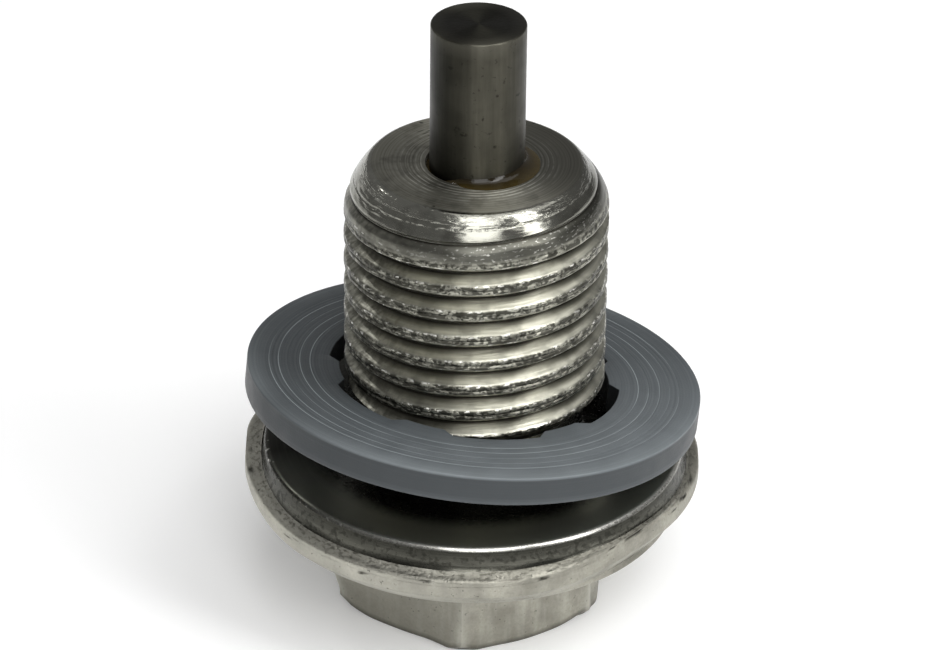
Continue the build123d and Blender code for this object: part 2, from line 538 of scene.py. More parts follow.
def open_material(name: str, groups: SharedGroups | None = None) -> tuple[bpy.types.Material, Board, bpy.types.Node]:
    """A new material with its board and its one surface shader.

    Args:
        name: The material's name.
        groups: The shared groups that its board may place.

    Returns:
        The material, its board and its shader.
    """
    material = bpy.data.materials.new(name)
    material.use_nodes = True
    return material, Board(material.node_tree, groups), material.node_tree.nodes["Principled BSDF"]


def set_metal(shader: bpy.types.Node, drawn_out: float = 0.0) -> None:
    """Make a shader bare metal, whose highlights lathe or grinding lines may draw out across themselves.

    Args:
        shader: The shader.
        drawn_out: How far, from nought to one.
    """
    shader.inputs["Metallic"].default_value = 1.0
    if drawn_out:
        shader.inputs["Anisotropic"].default_value = drawn_out
        shader.inputs["Anisotropic Rotation"].default_value = 0.25


def connect(board: Board, shader: bpy.types.Node, **sockets: Socket) -> None:
    """Link results to the shader's inputs, whose names are given with _ for a space."""
    for name, socket in sockets.items():
        board.tree.links.new(socket, shader.inputs[name.replace("_", " ")])


@dataclass(frozen=True)
class ForgedFinish:
    """Plated forging skin: warm grey, cloudy and pitted, and soiled towards the turned land, with painted shade on the
    head's left flats and at the foot of its flats, painted light on the bulge's left side and a painted highlight down
    the head's corners.
    """

    light: Colour = (0.44, 0.427, 0.367)
    dull: Colour = (0.28, 0.272, 0.232)
    pit: Colour = (0.045, 0.043, 0.035)
    soil: Colour = (0.1, 0.097, 0.08)
    rubbed: Colour = (0.74, 0.73, 0.66)
    clouds: Patches = Patches(1.6, 0.35, 0.3)
    grain: Patches = Patches(0.16, 0.3, 0.4)
    specks: Patches = Patches(0.2, 0.66, 0.06)
    streaks: Patches = Patches(0.6, 0.45, 0.25)
    streak_stretch: Triple = (1, 1, 0.12)
    dashes: Patches = Patches(0.22, 0.5, 0.14, 5.0)
    dash_stretch: Triple = (0.7, 0.7, 2.2)
    head_heights: tuple[float, float] = (5.6, 4.8)
    shaded_side: Side = Side(-150, 30, 75)
    painted_light_side: Side = Side(-150, 35, 70)
    clean_side: Side = Side(-150, 35, 75)
    relief_mm: float = 0.014

    def material(self, groups: SharedGroups) -> bpy.types.Material:
        """Build the material from clouds and grain, the head's streaks, soil, pits, painted shade and light, and the
        mesh's worn corners with their painted highlight.

        Args:
            groups: The shared node groups.

        Returns:
            The material.
        """
        material, board, shader = open_material("forged_plate", groups)
        place = board.millimetres()
        grain = board.patches(place, self.grain)
        on_head = board.share(board.height(place), *self.head_heights)
        base = board.colour_mix(board.patches(place, self.clouds), self.dull, self.light)
        base = board.tint(base, self.dull, grain, strength=0.35)
        streaks = board.patches(board.millimetres(stretch=self.streak_stretch), self.streaks)
        base = board.tint(base, self.rubbed, streaks, strength=board.number_mix(on_head, 0.04, 0.2))
        shaded = board.times(on_head, board.facing(place, self.shaded_side))
        base = board.tint(base, self.dull, shaded, strength=0.75)
        # Painted light: the bulge's left side is lightened.
        pale = board.times(board.rest(on_head), board.facing(place, self.painted_light_side))
        base = board.tint(base, self.rubbed, pale, strength=0.22)
        base = self.soiled(board, place, base)
        # The pits and, on the head, the painted shade at the foot of the flats darken the colour and sink the relief.
        pitted = board.most(board.mask("pit"), board.times(board.patches(place, self.specks), 0.6))
        base = board.colour_mix(pitted, base, self.pit)
        # The corners that the mesh marks: wear and a painted highlight.
        base = board.tint(base, self.rubbed, board.mask("rubbed"), strength=0.95)
        relief = board.math("SUBTRACT", grain, board.times(pitted, 2.0))
        set_metal(shader)
        rough = board.raised(0.44, grain, by=0.12)
        connect(board, shader, Base_Color=base, Roughness=rough, Normal=board.bump(relief, self.relief_mm))
        return material

    def soiled(self, board: Board, place: Socket, base: Socket) -> Socket:
        """The base with dashes of soil where the mesh nears the land, and a broken line of it at the border.

        Args:
            board: The board that the nodes go on.
            place: The socket with the point's place in millimetres.
            base: The colour so far.

        Returns:
            The colour's socket.
        """
        near_land = board.mask("soil")
        dashes = board.patches(board.millimetres(stretch=self.dash_stretch), self.dashes)
        base = board.tint(base, self.soil, board.times(near_land, dashes), strength=0.75)
        at_border = board.times(board.share(near_land, 0.4, 1.0), board.number_mix(dashes, 0.6, 0.95))
        cleaner = board.number_mix(board.facing(place, self.clean_side), 1.0, 0.35)
        return board.tint(base, self.soil, at_border, strength=cleaner)


@dataclass(frozen=True)
class TurnedFinish:
    """Turned steel, dark under the washer as painted shade and lighter towards the land's foot: fine lathe lines,
    speckled stains, a rubbed edge brightened as a painted highlight, and a painted sheen on the face's front.
    """

    dark: Colour = (0.028, 0.028, 0.023)
    light: Colour = (0.085, 0.084, 0.071)
    face: Colour = (0.55, 0.56, 0.47)
    foot: Colour = (0.19, 0.187, 0.158)
    edge: Colour = (0.72, 0.71, 0.66)
    stain: Colour = (0.02, 0.02, 0.016)
    stains: Patches = Patches(0.3, 0.52, 0.12)
    smears: Patches = Patches(0.9, 0.4, 0.25)
    smear_stretch: Triple = (0.35, 0.35, 2.5)
    painted_edge_highlight: Patches = Patches(0.14, 0.35, 0.2)
    painted_glints: Patches = Patches(0.5, 0.6, 0.06)
    painted_sheen_side: Side = Side(-80, 50, 90)
    dim_side: Side = Side(180, 35, 75)
    line_mm: float = 0.14
    relief_mm: float = 0.005

    def material(self, groups: SharedGroups) -> bpy.types.Material:
        """Build the material from lathe lines, smears, stains and the edge, face and foot that the mesh marks: the edge
        carries a painted highlight, the face's front a painted sheen, and the rest stays dark as painted shade, lighter
        at the foot.

        Args:
            groups: The shared node groups.

        Returns:
            The material.
        """
        material, board, shader = open_material("turned_steel", groups)
        place = board.millimetres()
        face, dim = board.mask("face"), board.facing(place, self.dim_side)
        lines = board.turning_lines(place, self.line_mm)
        stains = board.patches(place, self.stains)
        base = board.colour_mix(lines, self.dark, self.light)
        # Painted shade: the land stays dark under the washer and lightens towards its foot, less so on the left side.
        smears = board.patches(board.millimetres(stretch=self.smear_stretch), self.smears)
        smears = board.times(smears, board.number_mix(dim, 1.0, 0.35))
        base = board.tint(base, self.foot, board.mask("foot"), strength=smears)
        # Painted sheen: the seal face is lightened towards the front.
        base = board.tint(base, self.face, face, strength=board.facing(place, self.painted_sheen_side))
        base = board.tint(base, self.stain, stains, strength=board.number_mix(face, 0.55, 0.0))
        # Painted highlight along the face's edge, broken into spots on the left side.
        painted_edge_highlight = board.raised(0.7, board.patches(place, self.painted_edge_highlight), by=0.3)
        painted_edge_highlight = board.number_mix(dim, painted_edge_highlight, board.patches(place, self.painted_glints))
        base = board.tint(base, self.edge, board.mask("edge"), strength=painted_edge_highlight)
        set_metal(shader, drawn_out=0.4)
        rough = board.number_mix(face, board.raised(0.26, stains, by=0.12), 0.34)
        connect(board, shader, Base_Color=base, Roughness=rough, Normal=board.bump(lines, self.relief_mm))
        return material


@dataclass(frozen=True)
class ThreadFinish:
    """Rolled thread: bright drawn flanks, a torn and stained crest with painted highlights on its lips, a flank foot
    darkened as painted shade, and a root dark with oil and painted shade.
    """

    crest: Colour = (0.36, 0.355, 0.302)
    flank: Colour = (0.58, 0.57, 0.483)
    flank_foot: Colour = (0.22, 0.215, 0.175)
    root: Colour = (0.03, 0.028, 0.022)
    stain: Colour = (0.06, 0.058, 0.046)
    speck: Colour = (0.025, 0.024, 0.019)
    painted_glint: Colour = (0.82, 0.81, 0.75)
    ridge: Colour = (0.12, 0.119, 0.103)
    point: Colour = (0.35, 0.347, 0.306)
    specks: Patches = Patches(0.1, 0.54, 0.05)
    worn: Patches = Patches(0.07, 0.4, 0.25)
    grime: Patches = Patches(1.1, 0.47, 0.14, 5.0)
    torn: Patches = Patches(0.32, 0.46, 0.08, 6.0)
    dull: Patches = Patches(0.3, 0.41, 0.16, 5.0)
    painted_glint_spots: Patches = Patches(0.18, 0.57, 0.06)
    nicks: Patches = Patches(0.09, 0.585, 0.1)
    squeezes: tuple[float, ...] = (0.5, 0.8, 0.05, 0.35)
    dulled_left_side: Side = Side(170, 45, 80)
    painted_glint_side: Side = Side(-68, 28, 62)
    painted_shade_side: Side = Side(15, 25, 70)
    line_mm: float = 0.13
    relief_mm: float = 0.025

    def material(self, groups: SharedGroups) -> bpy.types.Material:
        """Build the material on a sheet laid along the thread, whose second axis is the way across the crest.

        Args:
            groups: The shared node groups.

        Returns:
            The material.
        """
        material, board, shader = open_material("rolled_thread", groups)
        depth, offset, along = (board.mask(name) for name in ("thread_depth", "thread_offset", "thread_along"))
        plain, on_point = board.mask("plain"), board.mask("point")
        fine, even, drawn, short = (self.sheet(board, along, offset, squeeze) for squeeze in self.squeezes)
        place = board.millimetres()
        from_middle = board.math("ABSOLUTE", offset)
        from_crest = board.math("ABSOLUTE", board.math("SUBTRACT", offset, 0.03))
        from_lip = board.math("ABSOLUTE", board.math("SUBTRACT", from_middle, 0.25))
        on_crest = board.times(board.share(from_crest, 0.3, 0.2), board.rest(plain))
        worn, torn = board.patches(drawn, self.worn), board.patches(even, self.torn)
        grime = board.patches(place, self.grime)
        seam = board.times(board.share(from_middle, 0.08, 0.02), board.number_mix(torn, 0.5, 1.0))
        broken = board.times(on_crest, board.most(board.patches(fine, self.specks), torn))
        dark = board.times(board.most(broken, seam), 0.85)
        base = board.tint(self.tone(board, depth), self.flank_foot, worn, strength=0.25)
        base = board.tint(base, self.stain, grime, strength=board.number_mix(on_crest, 0.35, 0.6))
        # The left side is dulled in patches.
        dulled = board.times(board.facing(place, self.dulled_left_side), board.patches(even, self.dull))
        base = board.tint(base, self.stain, dulled, strength=0.6)
        base = board.colour_mix(dark, base, self.speck)
        # Painted highlights in spots along the crest's lips.
        on_lip = board.share(from_lip, 0.07, 0.02)
        base = board.tint(base, self.painted_glint, on_lip, strength=board.patches(fine, self.painted_glint_spots))
        base = board.colour_mix(plain, base, self.smooth_steel(board, place, grime, on_point))
        # Painted highlights, in nick-shaped spots, on the front of the last ridge.
        on_ridge = board.times(board.math("SUBTRACT", plain, on_point), board.facing(place, self.painted_glint_side))
        base = board.tint(base, self.painted_glint, board.times(board.patches(short, self.nicks), on_ridge), strength=0.55)
        # Oil and painted shade darken the root, the more so where the thread is cut deep.
        in_root = board.share(from_middle, 0.66, 0.73)
        base = board.tint(base, self.root, in_root, strength=board.share(depth, 0.02, 0.1))
        relief = board.math("SUBTRACT", board.times(worn, 0.12), dark)
        set_metal(shader, drawn_out=0.4)
        rough = board.number_mix(on_point, board.number_mix(on_crest, 0.34, 0.36), 0.17)
        connect(board, shader, Base_Color=base, Roughness=rough, Normal=board.bump(relief, self.relief_mm))
        return material

    def tone(self, board: Board, depth: Socket) -> Socket:
        """The thread's plain colour by depth: crest, bright flank, its foot darkened as painted shade, and the root,
        dark with oil and painted shade.
        """
        stops = [(0.0, self.crest), (0.14, self.flank), (0.42, self.flank), (0.68, self.flank_foot), (0.9, self.root)]
        return board.ramp(depth, stops)

    def smooth_steel(self, board: Board, place: Socket, grime: Socket, on_point: Socket) -> Socket:
        """The turned steel of the last ridge and the point: faint lathe lines, painted shade on the right side and some
        grime.

        Args:
            board: The board that the nodes go on.
            place: The socket with the point's place in millimetres.
            grime: The socket with the grime's patches.
            on_point: The socket that is one on the point.

        Returns:
            The colour's socket.
        """
        steel = board.colour_mix(on_point, self.ridge, self.point)
        steel = board.tint(steel, self.stain, board.turning_lines(place, self.line_mm), strength=0.35)
        # Painted shade on the right side.
        steel = board.tint(steel, self.stain, board.facing(place, self.painted_shade_side), strength=0.5)
        return board.tint(steel, self.stain, grime, strength=0.35)

    @staticmethod
    def sheet(board: Board, along: Socket, offset: Socket, squeeze: float) -> Socket:
        """The place on the unwound thread, with its length squeezed so that marks stretch along the thread."""
        return board.put("CombineXYZ", {0: board.times(along, squeeze), 1: offset}).outputs[0]


@dataclass(frozen=True)
class EndFinish:
    """The shank's end and its rounded edge: coarse lathe rings near the hole, smoother steel outside them."""

    dark: Colour = (0.15, 0.145, 0.12)
    light: Colour = (0.47, 0.46, 0.39)
    ring: Colour = (0.9, 0.89, 0.8)
    edge: Colour = (0.35, 0.347, 0.306)
    stain: Colour = (0.04, 0.038, 0.03)
    stains: Patches = Patches(0.9, 0.48, 0.2, 5.0)
    scuffs: Patches = Patches(0.3, 0.45, 0.2)
    scuff_stretch: Triple = (0.5, 0.5, 3)
    unsteady: Patches = Patches(3.0, 0.25, 0.5, 1.0)
    broken: Patches = Patches(0.8, 0.36, 0.2)
    painted_shade_side: Side = Side(15, 25, 75)
    painted_highlight_side: Side = Side(-85, 45, 95)
    fine_mm: float = 0.09
    ring_mm: float = 0.27
    ring_reach: tuple[float, float] = (3.9, 4.7)
    edge_reach: tuple[float, float] = (5.46, 5.64)
    relief_mm: float = 0.014
    pits: tuple[Triple, ...] = ((-2.99, 4.24, 0.16), (2.99, 4.35, 0.15), (-2.2, -4.9, 0.12))
    pit_turn: float = 30.0
    scratches: tuple[tuple[float, float], ...] = ((-3.0, 3.3), (-2.75, 3.05), (-2.5, 2.8), (-2.55, 3.35))
    scratch_size: Triple = (0.28, 0.055, 1.0)
    scratch_turn: float = -35.0

    def material(self, groups: SharedGroups) -> bpy.types.Material:
        """Build the material from fine lathe lines, broken rings, painted shade on the right side, stains, pits and
        scratches.

        Args:
            groups: The shared node groups.

        Returns:
            The material.
        """
        material, board, shader = open_material("turned_end", groups)
        place = board.millimetres()
        radius = board.radius(place)
        outside = board.share(radius, *self.edge_reach)
        fine = board.turning_lines(place, self.fine_mm)
        ring, marks = self.rings(board, place, radius), self.marks(board, place)
        base = board.colour_mix(fine, self.dark, self.light)
        base = board.tint(base, self.ring, ring, strength=0.85)
        base = board.colour_mix(outside, base, self.edge)
        stained = board.times(board.patches(place, self.stains), 0.4)
        # Painted shade: the face darkens towards the right side, joined with the stains.
        painted_shade_share = board.times(board.facing(place, self.painted_shade_side), 0.52)
        base = board.colour_mix(board.most(stained, painted_shade_share), base, self.stain)
        base = board.tint(base, self.stain, marks, strength=0.85)
        scuffs = board.patches(board.millimetres(stretch=self.scuff_stretch), self.scuffs)
        relief = board.math("ADD", board.times(ring, 0.7), board.times(fine, 0.35))
        relief = board.math("SUBTRACT", relief, board.times(scuffs, outside, 0.8))
        relief = board.math("SUBTRACT", relief, marks)
        set_metal(shader, drawn_out=0.75)
        rough = board.number_mix(outside, 0.42, 0.17)
        connect(board, shader, Base_Color=base, Roughness=rough, Normal=board.bump(relief, self.relief_mm))
        return material

    def rings(self, board: Board, place: Socket, radius: Socket) -> Socket:
        """Thin rings at every ring pitch near the hole: the radius, a little unsteady, folded back and forth. They are
        brightened towards the front as a painted highlight.

        Args:
            board: The board that the nodes go on.
            place: The socket with the point's place in millimetres.
            radius: The socket with the point's distance from the axis.

        Returns:
            The share's socket.
        """
        wander = board.math("ADD", radius, board.times(board.patches(place, self.unsteady), 0.1))
        line = board.share(board.math("PINGPONG", wander, self.ring_mm / 2), none=0.06, full=0.01)
        near = board.share(radius, none=self.ring_reach[1], full=self.ring_reach[0])
        # Painted highlight: the rings are brighter towards the front.
        ahead = board.number_mix(board.facing(place, self.painted_highlight_side), 0.4, 1.0)
        return board.times(line, near, board.patches(place, self.broken), ahead)

    def marks(self, board: Board, place: Socket) -> Socket:
        """The few pits and short scratches on the end face, joined by their maximum.

        Args:
            board: The board that the nodes go on.
            place: The socket with the point's place in millimetres.

        Returns:
            The share's socket.
        """
        height = SteelPlug.end_height
        spots = [board.spot(place, (x, y, height), (size, size * 0.7, 1.0), self.pit_turn) for x, y, size in self.pits]
        spots += [board.spot(place, (x, y, height), self.scratch_size, self.scratch_turn) for x, y in self.scratches]
        return reduce(board.most, spots)


@dataclass(frozen=True)
class MagnetFinish:
    """Dark ground magnet: satin, drawn lightly along its length, with a few rubbed and dark marks, and painted shade on
    its left side and on its top.
    """

    base: Colour = (0.064, 0.061, 0.048)
    rubbed: Colour = (0.14, 0.135, 0.11)
    mark: Colour = (0.012, 0.012, 0.009)
    top: Colour = (0.028, 0.027, 0.021)
    grain: Patches = Patches(0.22, 0.3, 0.4)
    grain_stretch: Triple = (1, 1, 0.06)
    clouds: Patches = Patches(1.8, 0.4, 0.35)
    marks: Patches = Patches(0.4, 0.62, 0.1, 5.0)
    ragged: Patches = Patches(0.16, 0.4, 0.1)
    painted_shade_side: Side = Side(180, 50, 88)
    relief_mm: float = 0.004
    nicks: tuple[tuple[Triple, Triple], ...] = (
        ((0.26, -2.49, 29.5), (0.09, 0.3, 0.2)),
        ((-1.11, -2.24, 28.76), (0.3, 0.3, 0.2)),
        ((-0.72, -2.37, 28.5), (0.25, 0.3, 0.16)),
        ((2.06, -1.41, 30.36), (0.2, 0.3, 0.12)),
    )

    def material(self, groups: SharedGroups) -> bpy.types.Material:
        """Build the material from drawn grain, faint clouds, worn edges, nicks, dark marks and painted shade on the
        left side and the top.

        Args:
            groups: The shared node groups.

        Returns:
            The material.
        """
        material, board, shader = open_material("ground_magnet", groups)
        place = board.millimetres()
        grain = board.patches(board.millimetres(stretch=self.grain_stretch), self.grain)
        clouds, ragged = board.patches(place, self.clouds), board.patches(place, self.ragged)
        marks = board.patches(place, self.marks)
        for centre, size in self.nicks:
            marks = board.most(marks, board.times(board.spot(place, centre, size), ragged))
        base = board.colour_mix(board.times(grain, 0.2), self.base, self.rubbed)
        base = board.tint(base, self.mark, clouds, strength=0.3)
        base = board.tint(base, self.mark, marks, strength=0.7)
        # Painted shade on the left side.
        base = board.tint(base, self.mark, board.facing(place, self.painted_shade_side), strength=0.75)
        # Painted shade: the top face is darker.
        base = board.colour_mix(board.mask("top"), base, self.top)
        base = board.colour_mix(board.mask("edge"), base, self.rubbed)
        set_metal(shader, drawn_out=0.78)
        rough = board.raised(0.4, clouds, by=0.1)
        connect(board, shader, Base_Color=base, Roughness=rough, Normal=board.bump(grain, self.relief_mm))
        return material


@dataclass(frozen=True)
class AdhesiveFinish:
    """Amber adhesive, cured glossy: darker where it is thick."""

    thin: Colour = (0.042, 0.03, 0.009)
    thick: Colour = (0.01, 0.007, 0.0025)
    clouds: Patches = Patches(0.8, 0.35, 0.3)
    ripples: Patches = Patches(0.3, 0.3, 0.4)
    roughness: float = 0.12
    refraction: float = 1.45
    shine: float = 0.35
    relief_mm: float = 0.005

    def material(self, groups: SharedGroups) -> bpy.types.Material:
        """Build the material from the bead's thickness, faint clouds and a rippled skin.

        Args:
            groups: The shared node groups.

        Returns:
            The material.
        """
        material, board, shader = open_material("amber_adhesive", groups)
        place = board.millimetres()
        base = board.colour_mix(board.mask("thickness"), self.thin, self.thick)
        base = board.tint(base, self.thick, board.patches(place, self.clouds), strength=0.4)
        ripples = board.patches(place, self.ripples)
        shader.inputs["Roughness"].default_value = self.roughness
        shader.inputs["IOR"].default_value = self.refraction
        shader.inputs["Specular IOR Level"].default_value = self.shine
        connect(board, shader, Base_Color=base, Normal=board.bump(ripples, self.relief_mm))
        return material


@dataclass(frozen=True)
class NylonFinish:
    """Blue-grey nylon: satin, faintly cloudy, with pale rings where the turning tool and wear left them, a painted
    highlight on the rounded edges, and painted shade on the walls, in the bore and towards the back and left.
    """

    base: Colour = (0.118, 0.132, 0.142)
    shade: Colour = (0.094, 0.106, 0.115)
    side: Colour = (0.04, 0.046, 0.05)
    painted_shade_colour: Colour = (0.03, 0.035, 0.039)
    pale: Colour = (0.27, 0.30, 0.31)
    bore: Colour = (0.009, 0.01, 0.011)
    clouds: Patches = Patches(1.5, 0.35, 0.3)
    grit: Patches = Patches(0.1, 0.35, 0.3)
    painted_shade_way: Triple = (-0.45, 0.9, 0)
    painted_shade_reach: tuple[float, float] = (-9.8, -0.5)
    shine: float = 0.4
    line_mm: float = 0.12
    relief_mm: float = 0.006

    def material(self, groups: SharedGroups, tilt: Matrix) -> bpy.types.Material:
        """Build the material from clouds, lathe lines about the washer's own axis, and the mesh's masks.

        A painted shade darkens the washer towards its back and left.

        Args:
            groups: The shared node groups.
            tilt: The turn and shift that carried the flat washer to where it hangs.

        Returns:
            The material.
        """
        material, board, shader = open_material("grey_nylon", groups)
        place = board.millimetres(tilt=tilt)
        lines = board.turning_lines(place, self.line_mm)
        clouds = board.patches(place, self.clouds)
        side = board.mask("side")
        base = board.colour_mix(clouds, self.shade, self.base)
        # Painted shade towards the back and left.
        painted_shade_share = board.share(board.vector_math("DOT_PRODUCT", place, self.painted_shade_way), *self.painted_shade_reach)
        base = board.tint(base, self.painted_shade_colour, painted_shade_share, strength=0.92)
        # Painted shade: the walls and their rounded edges are darker.
        base = board.colour_mix(side, base, self.side)
        base = board.tint(base, self.pale, lines, strength=board.number_mix(side, 0.24, 0.03))
        # The pale mask: ring lines, and a painted highlight on the rounded edges.
        base = board.colour_mix(board.mask("pale"), base, self.pale)
        # Painted shade: the bore's walls are nearly black.
        base = board.colour_mix(board.mask("bore"), base, self.bore)
        relief = board.math("ADD", lines, board.times(board.patches(place, self.grit), 0.5))
        shader.inputs["Specular IOR Level"].default_value = self.shine
        rough = board.raised(0.42, clouds, by=0.1)
        connect(board, shader, Base_Color=base, Roughness=rough, Normal=board.bump(relief, self.relief_mm))
        return material


# Sub-assemblies


@dataclass
class SteelPlug:
    """The forged, turned and threaded plug as one closed skin, from the head's end face to the hole's point."""

    columns: int = 288
    seed: int = 14
    corner_angle: float = -93.6
    apothem: float = 7.0
    corner_rounding: float = 0.2
    worn_sides: tuple[Triple, ...] = ((-68, 13, 0.2), (-33.6, 7, -0.38), (-153.6, 6, -0.1))
    flare: Triple = (-153.6, 13, 0.32)
    flare_heights: tuple[float, float] = (0.9, 2.4)
    end_radius: float = 7.6
    end_break: float = 0.07
    worn_ends: tuple[Triple, ...] = ((-37, 11, 0.38), (-153.6, 10, 0.38), (-108, 9, 0.12))
    hammered: float = 0.009
    # Painted shade: how far up the flats their darkened foot reaches, and how dark it is.
    painted_foot_shade: tuple[float, float] = (0.34, 0.6)
    # The corners' worn brightness, with a painted highlight added: its angular width and strength.
    corner_rub_and_highlight: tuple[float, float] = (0.036, 0.5)
    head_height: float = 5.2
    head_fillet: float = 0.6
    underside_radius: float = 10.9
    lip: Triple = (11.45, 5.6, 0.5)
    rim_bottom: Triple = (12.4, 6.5, 0.8)
    rim_top: Triple = (12.2, 7.2, 0.6)
    bulge_span: float = 0.14
    wave_height: float = 0.035
    lump_height: float = 0.006
    pit_depth: float = 0.03
    bulge_inset: float = 0.04
    soil_reach: float = 1.1
    rim_limit: float = 12.12
    left_limit: float = 12.34
    right_limit: float = 12.22
    lobes: tuple[tuple[float, float, float, float], ...] = (
        (169, 24, 0.40, 0.88), (-41, 24, -0.56, 0.36), (10, 22, 0.2, 0.45),
    )
    raggedness: float = 0.02
    land_foot: Triple = (11.58, 7.5, 0.8)
    seal_edge: Triple = (11.28, 8.85, 0.3)
    edge_width: tuple[float, float] = (0.1, 0.22)
    face_reach: tuple[float, float] = (8.2, 9.6)
    neck_foot: Triple = (5.85, 8.85, 0.5)
    neck_top: float = 11.85
    major_radius: float = 7.0
    pitch: float = 1.5
    crest_width: float = 0.5
    thread_depth: float = 0.68
    lip_place: float = 0.13
    lip_height: float = 0.036
    flank_angle: float = 30.0
    crest_tear: tuple[float, float, float] = (0.012, -0.01, 0.006)
    root_at_front: float = 24.04
    run_out_rise: float = 0.22
    run_out_span: tuple[float, float] = (-0.9, -0.1)
    end_height: float = 25.65
    end_face_radius: float = 5.62
    end_rounding: tuple[float, float] = (0.2, 0.13)
    point_foot: float = 25.2
    point_length: float = 2.66
    point_skew: float = 0.32
    point_power: tuple[float, float] = (1.83, 0.23)
    point_shift: tuple[float, float] = (0.09, 0.18)
    point_roughness: float = 0.006
    hole_radius: float = 2.7
    hole_foot: float = 18.72
    drill_angle: float = 118.0

    def __post_init__(self) -> None:
        """Seed the random draws, and place the columns so that the first is on a corner of the hexagon."""
        self.rng = np.random.default_rng(self.seed)
        self.angles = radians(self.corner_angle) + 2 * pi * np.arange(self.columns) / self.columns

    def build(self) -> bpy.types.Object:
        """Work out the whole skin and make it one piece.

        Returns:
            The piece.
        """
        head, flange, shank, end = self.head(), self.flange(), self.thread(), self.end()
        below = stacked([head, flange])
        skin = stacked([below, shank, self.point(), end])
        faces = ring_faces(len(skin.radius), self.columns)
        first = len(below.radius)
        self.step_seam(faces, first, first + len(shank.radius))
        zones = np.repeat(skin.zones[:-1, None], self.columns, axis=1)
        return add_mesh("steel_plug", skin.points(), faces, zones, skin.masks)

    def dress(self, piece: bpy.types.Object, groups: SharedGroups) -> None:
        """Give the piece its four finishes, in the order of the zones."""
        for finish in (ForgedFinish(), TurnedFinish(), ThreadFinish(), EndFinish()):
            piece.data.materials.append(finish.material(groups))

    def hexagon_radius(self) -> Array:
        """The hexagon's radius at each column.

        On a flat it is apothem / cos(angle from the flat's middle). Near a corner it runs on a circle that
        touches both flats, centred at (apothem - rounding) / cos 30 from the axis. Bell curves then swell or
        wear single sides and corners.

        Returns:
            One radius per column.
        """
        sector = pi / 3
        from_corner = (self.angles - radians(self.corner_angle)) % sector
        from_corner = np.minimum(from_corner, sector - from_corner)
        flat = self.apothem / np.cos(sector / 2 - from_corner)
        centre = (self.apothem - self.corner_rounding) / cos(sector / 2)
        inside = np.maximum(self.corner_rounding**2 - (centre * np.sin(from_corner)) ** 2, 0)
        corner = centre * np.cos(from_corner) + np.sqrt(inside)
        touch = np.arctan2(self.corner_rounding * sin(sector / 2), centre + self.corner_rounding * cos(sector / 2))
        plain = np.where(from_corner < touch, corner, flat)
        return plain + self.bells(self.worn_sides)

    def bells(self, places: tuple[Triple, ...]) -> Array:
        """Bell curves round the axis, each given as (angle, width, height), added up at each column.

        Args:
            places: The bells, with angle and width in degrees.

        Returns:
            Their sum, one number per column.
        """
        middle, width, height = np.array(places).T[:, :, None]
        beside = (np.degrees(self.angles) - middle + 180) % 360 - 180
        return (height * np.exp(-((beside / width) ** 2))).sum(axis=0)

    def head(self) -> Surface:
        """The end face, its chamfered corners, the six flats and the fillet under the flange.

        The end face reaches to a circle that only the corners pass, or to the broken edge of the flats, less
        where its edge is worn away. From there the chamfer rises at 45 degrees, by outline - reach. Higher up,
        one corner flares out by a bell curve.

        Returns:
            The surface.
        """
        outline = self.hexagon_radius()
        start = np.minimum(self.end_radius, outline - self.end_break) - self.bells(self.worn_ends)
        rows = [(start * share, np.zeros_like(outline)) for share in (0.0, 0.35, 0.7, 0.94, 0.985, 1.0)]
        for share in (0.25, 0.5, 0.75, 0.96):
            rows.append((start + (outline - start) * share, (outline - start) * share))
        foot = outline - start
        top = self.head_height - self.head_fillet
        for share in (0.01, 0.03, *np.linspace(0.07, 1, 16)):
            rows.append((outline, foot + (top - foot) * share))
        for turn in np.radians((22.5, 45, 67.5, 90)):
            out, up = self.head_fillet * (1 - cos(turn)), self.head_fillet * sin(turn)
            rows.append((outline + out, np.full_like(outline, top + up)))
        reach = outline + self.head_fillet
        for share in (0.35, 0.7):
            rows.append((reach + (self.underside_radius - reach) * share, np.full_like(outline, self.head_height)))
        radius, height = (np.array(values) for values in zip(*rows))
        radius += self.bells((self.flare,)) * smooth_step(height, *self.flare_heights) * (radius > start * 0.99)
        hammered = smooth_noise(radius.shape, (2.5, 5), self.rng) * self.hammered
        radius = np.where(height > self.head_height * 0.1, radius + hammered - 0.01, radius)
        # Painted shade: the flats darken towards their foot, in the same mask as the bulge's pits.
        reach, strength = self.painted_foot_shade
        shade = strength * (1 - smooth_step(height, foot, foot + reach)) * (radius > start * 0.97)
        # The corners are lightened for wear and as a painted highlight.
        from_corner = np.abs((self.angles - radians(self.corner_angle) + pi / 6) % (pi / 3) - pi / 6)
        width, strength = self.corner_rub_and_highlight
        rubbed = strength * np.exp(-((from_corner / width) ** 2)) * (height > 0.3) * (height < top)
        rubbed = rubbed * np.clip(0.85 + 0.35 * smooth_noise(radius.shape, (2, 1), self.rng), 0, 1)
        masks = {"pit": shade * (1 - rubbed), "rubbed": rubbed}
        return Surface(self.angles, radius, height, np.full(len(rows), Zone.FORGED.value), masks)

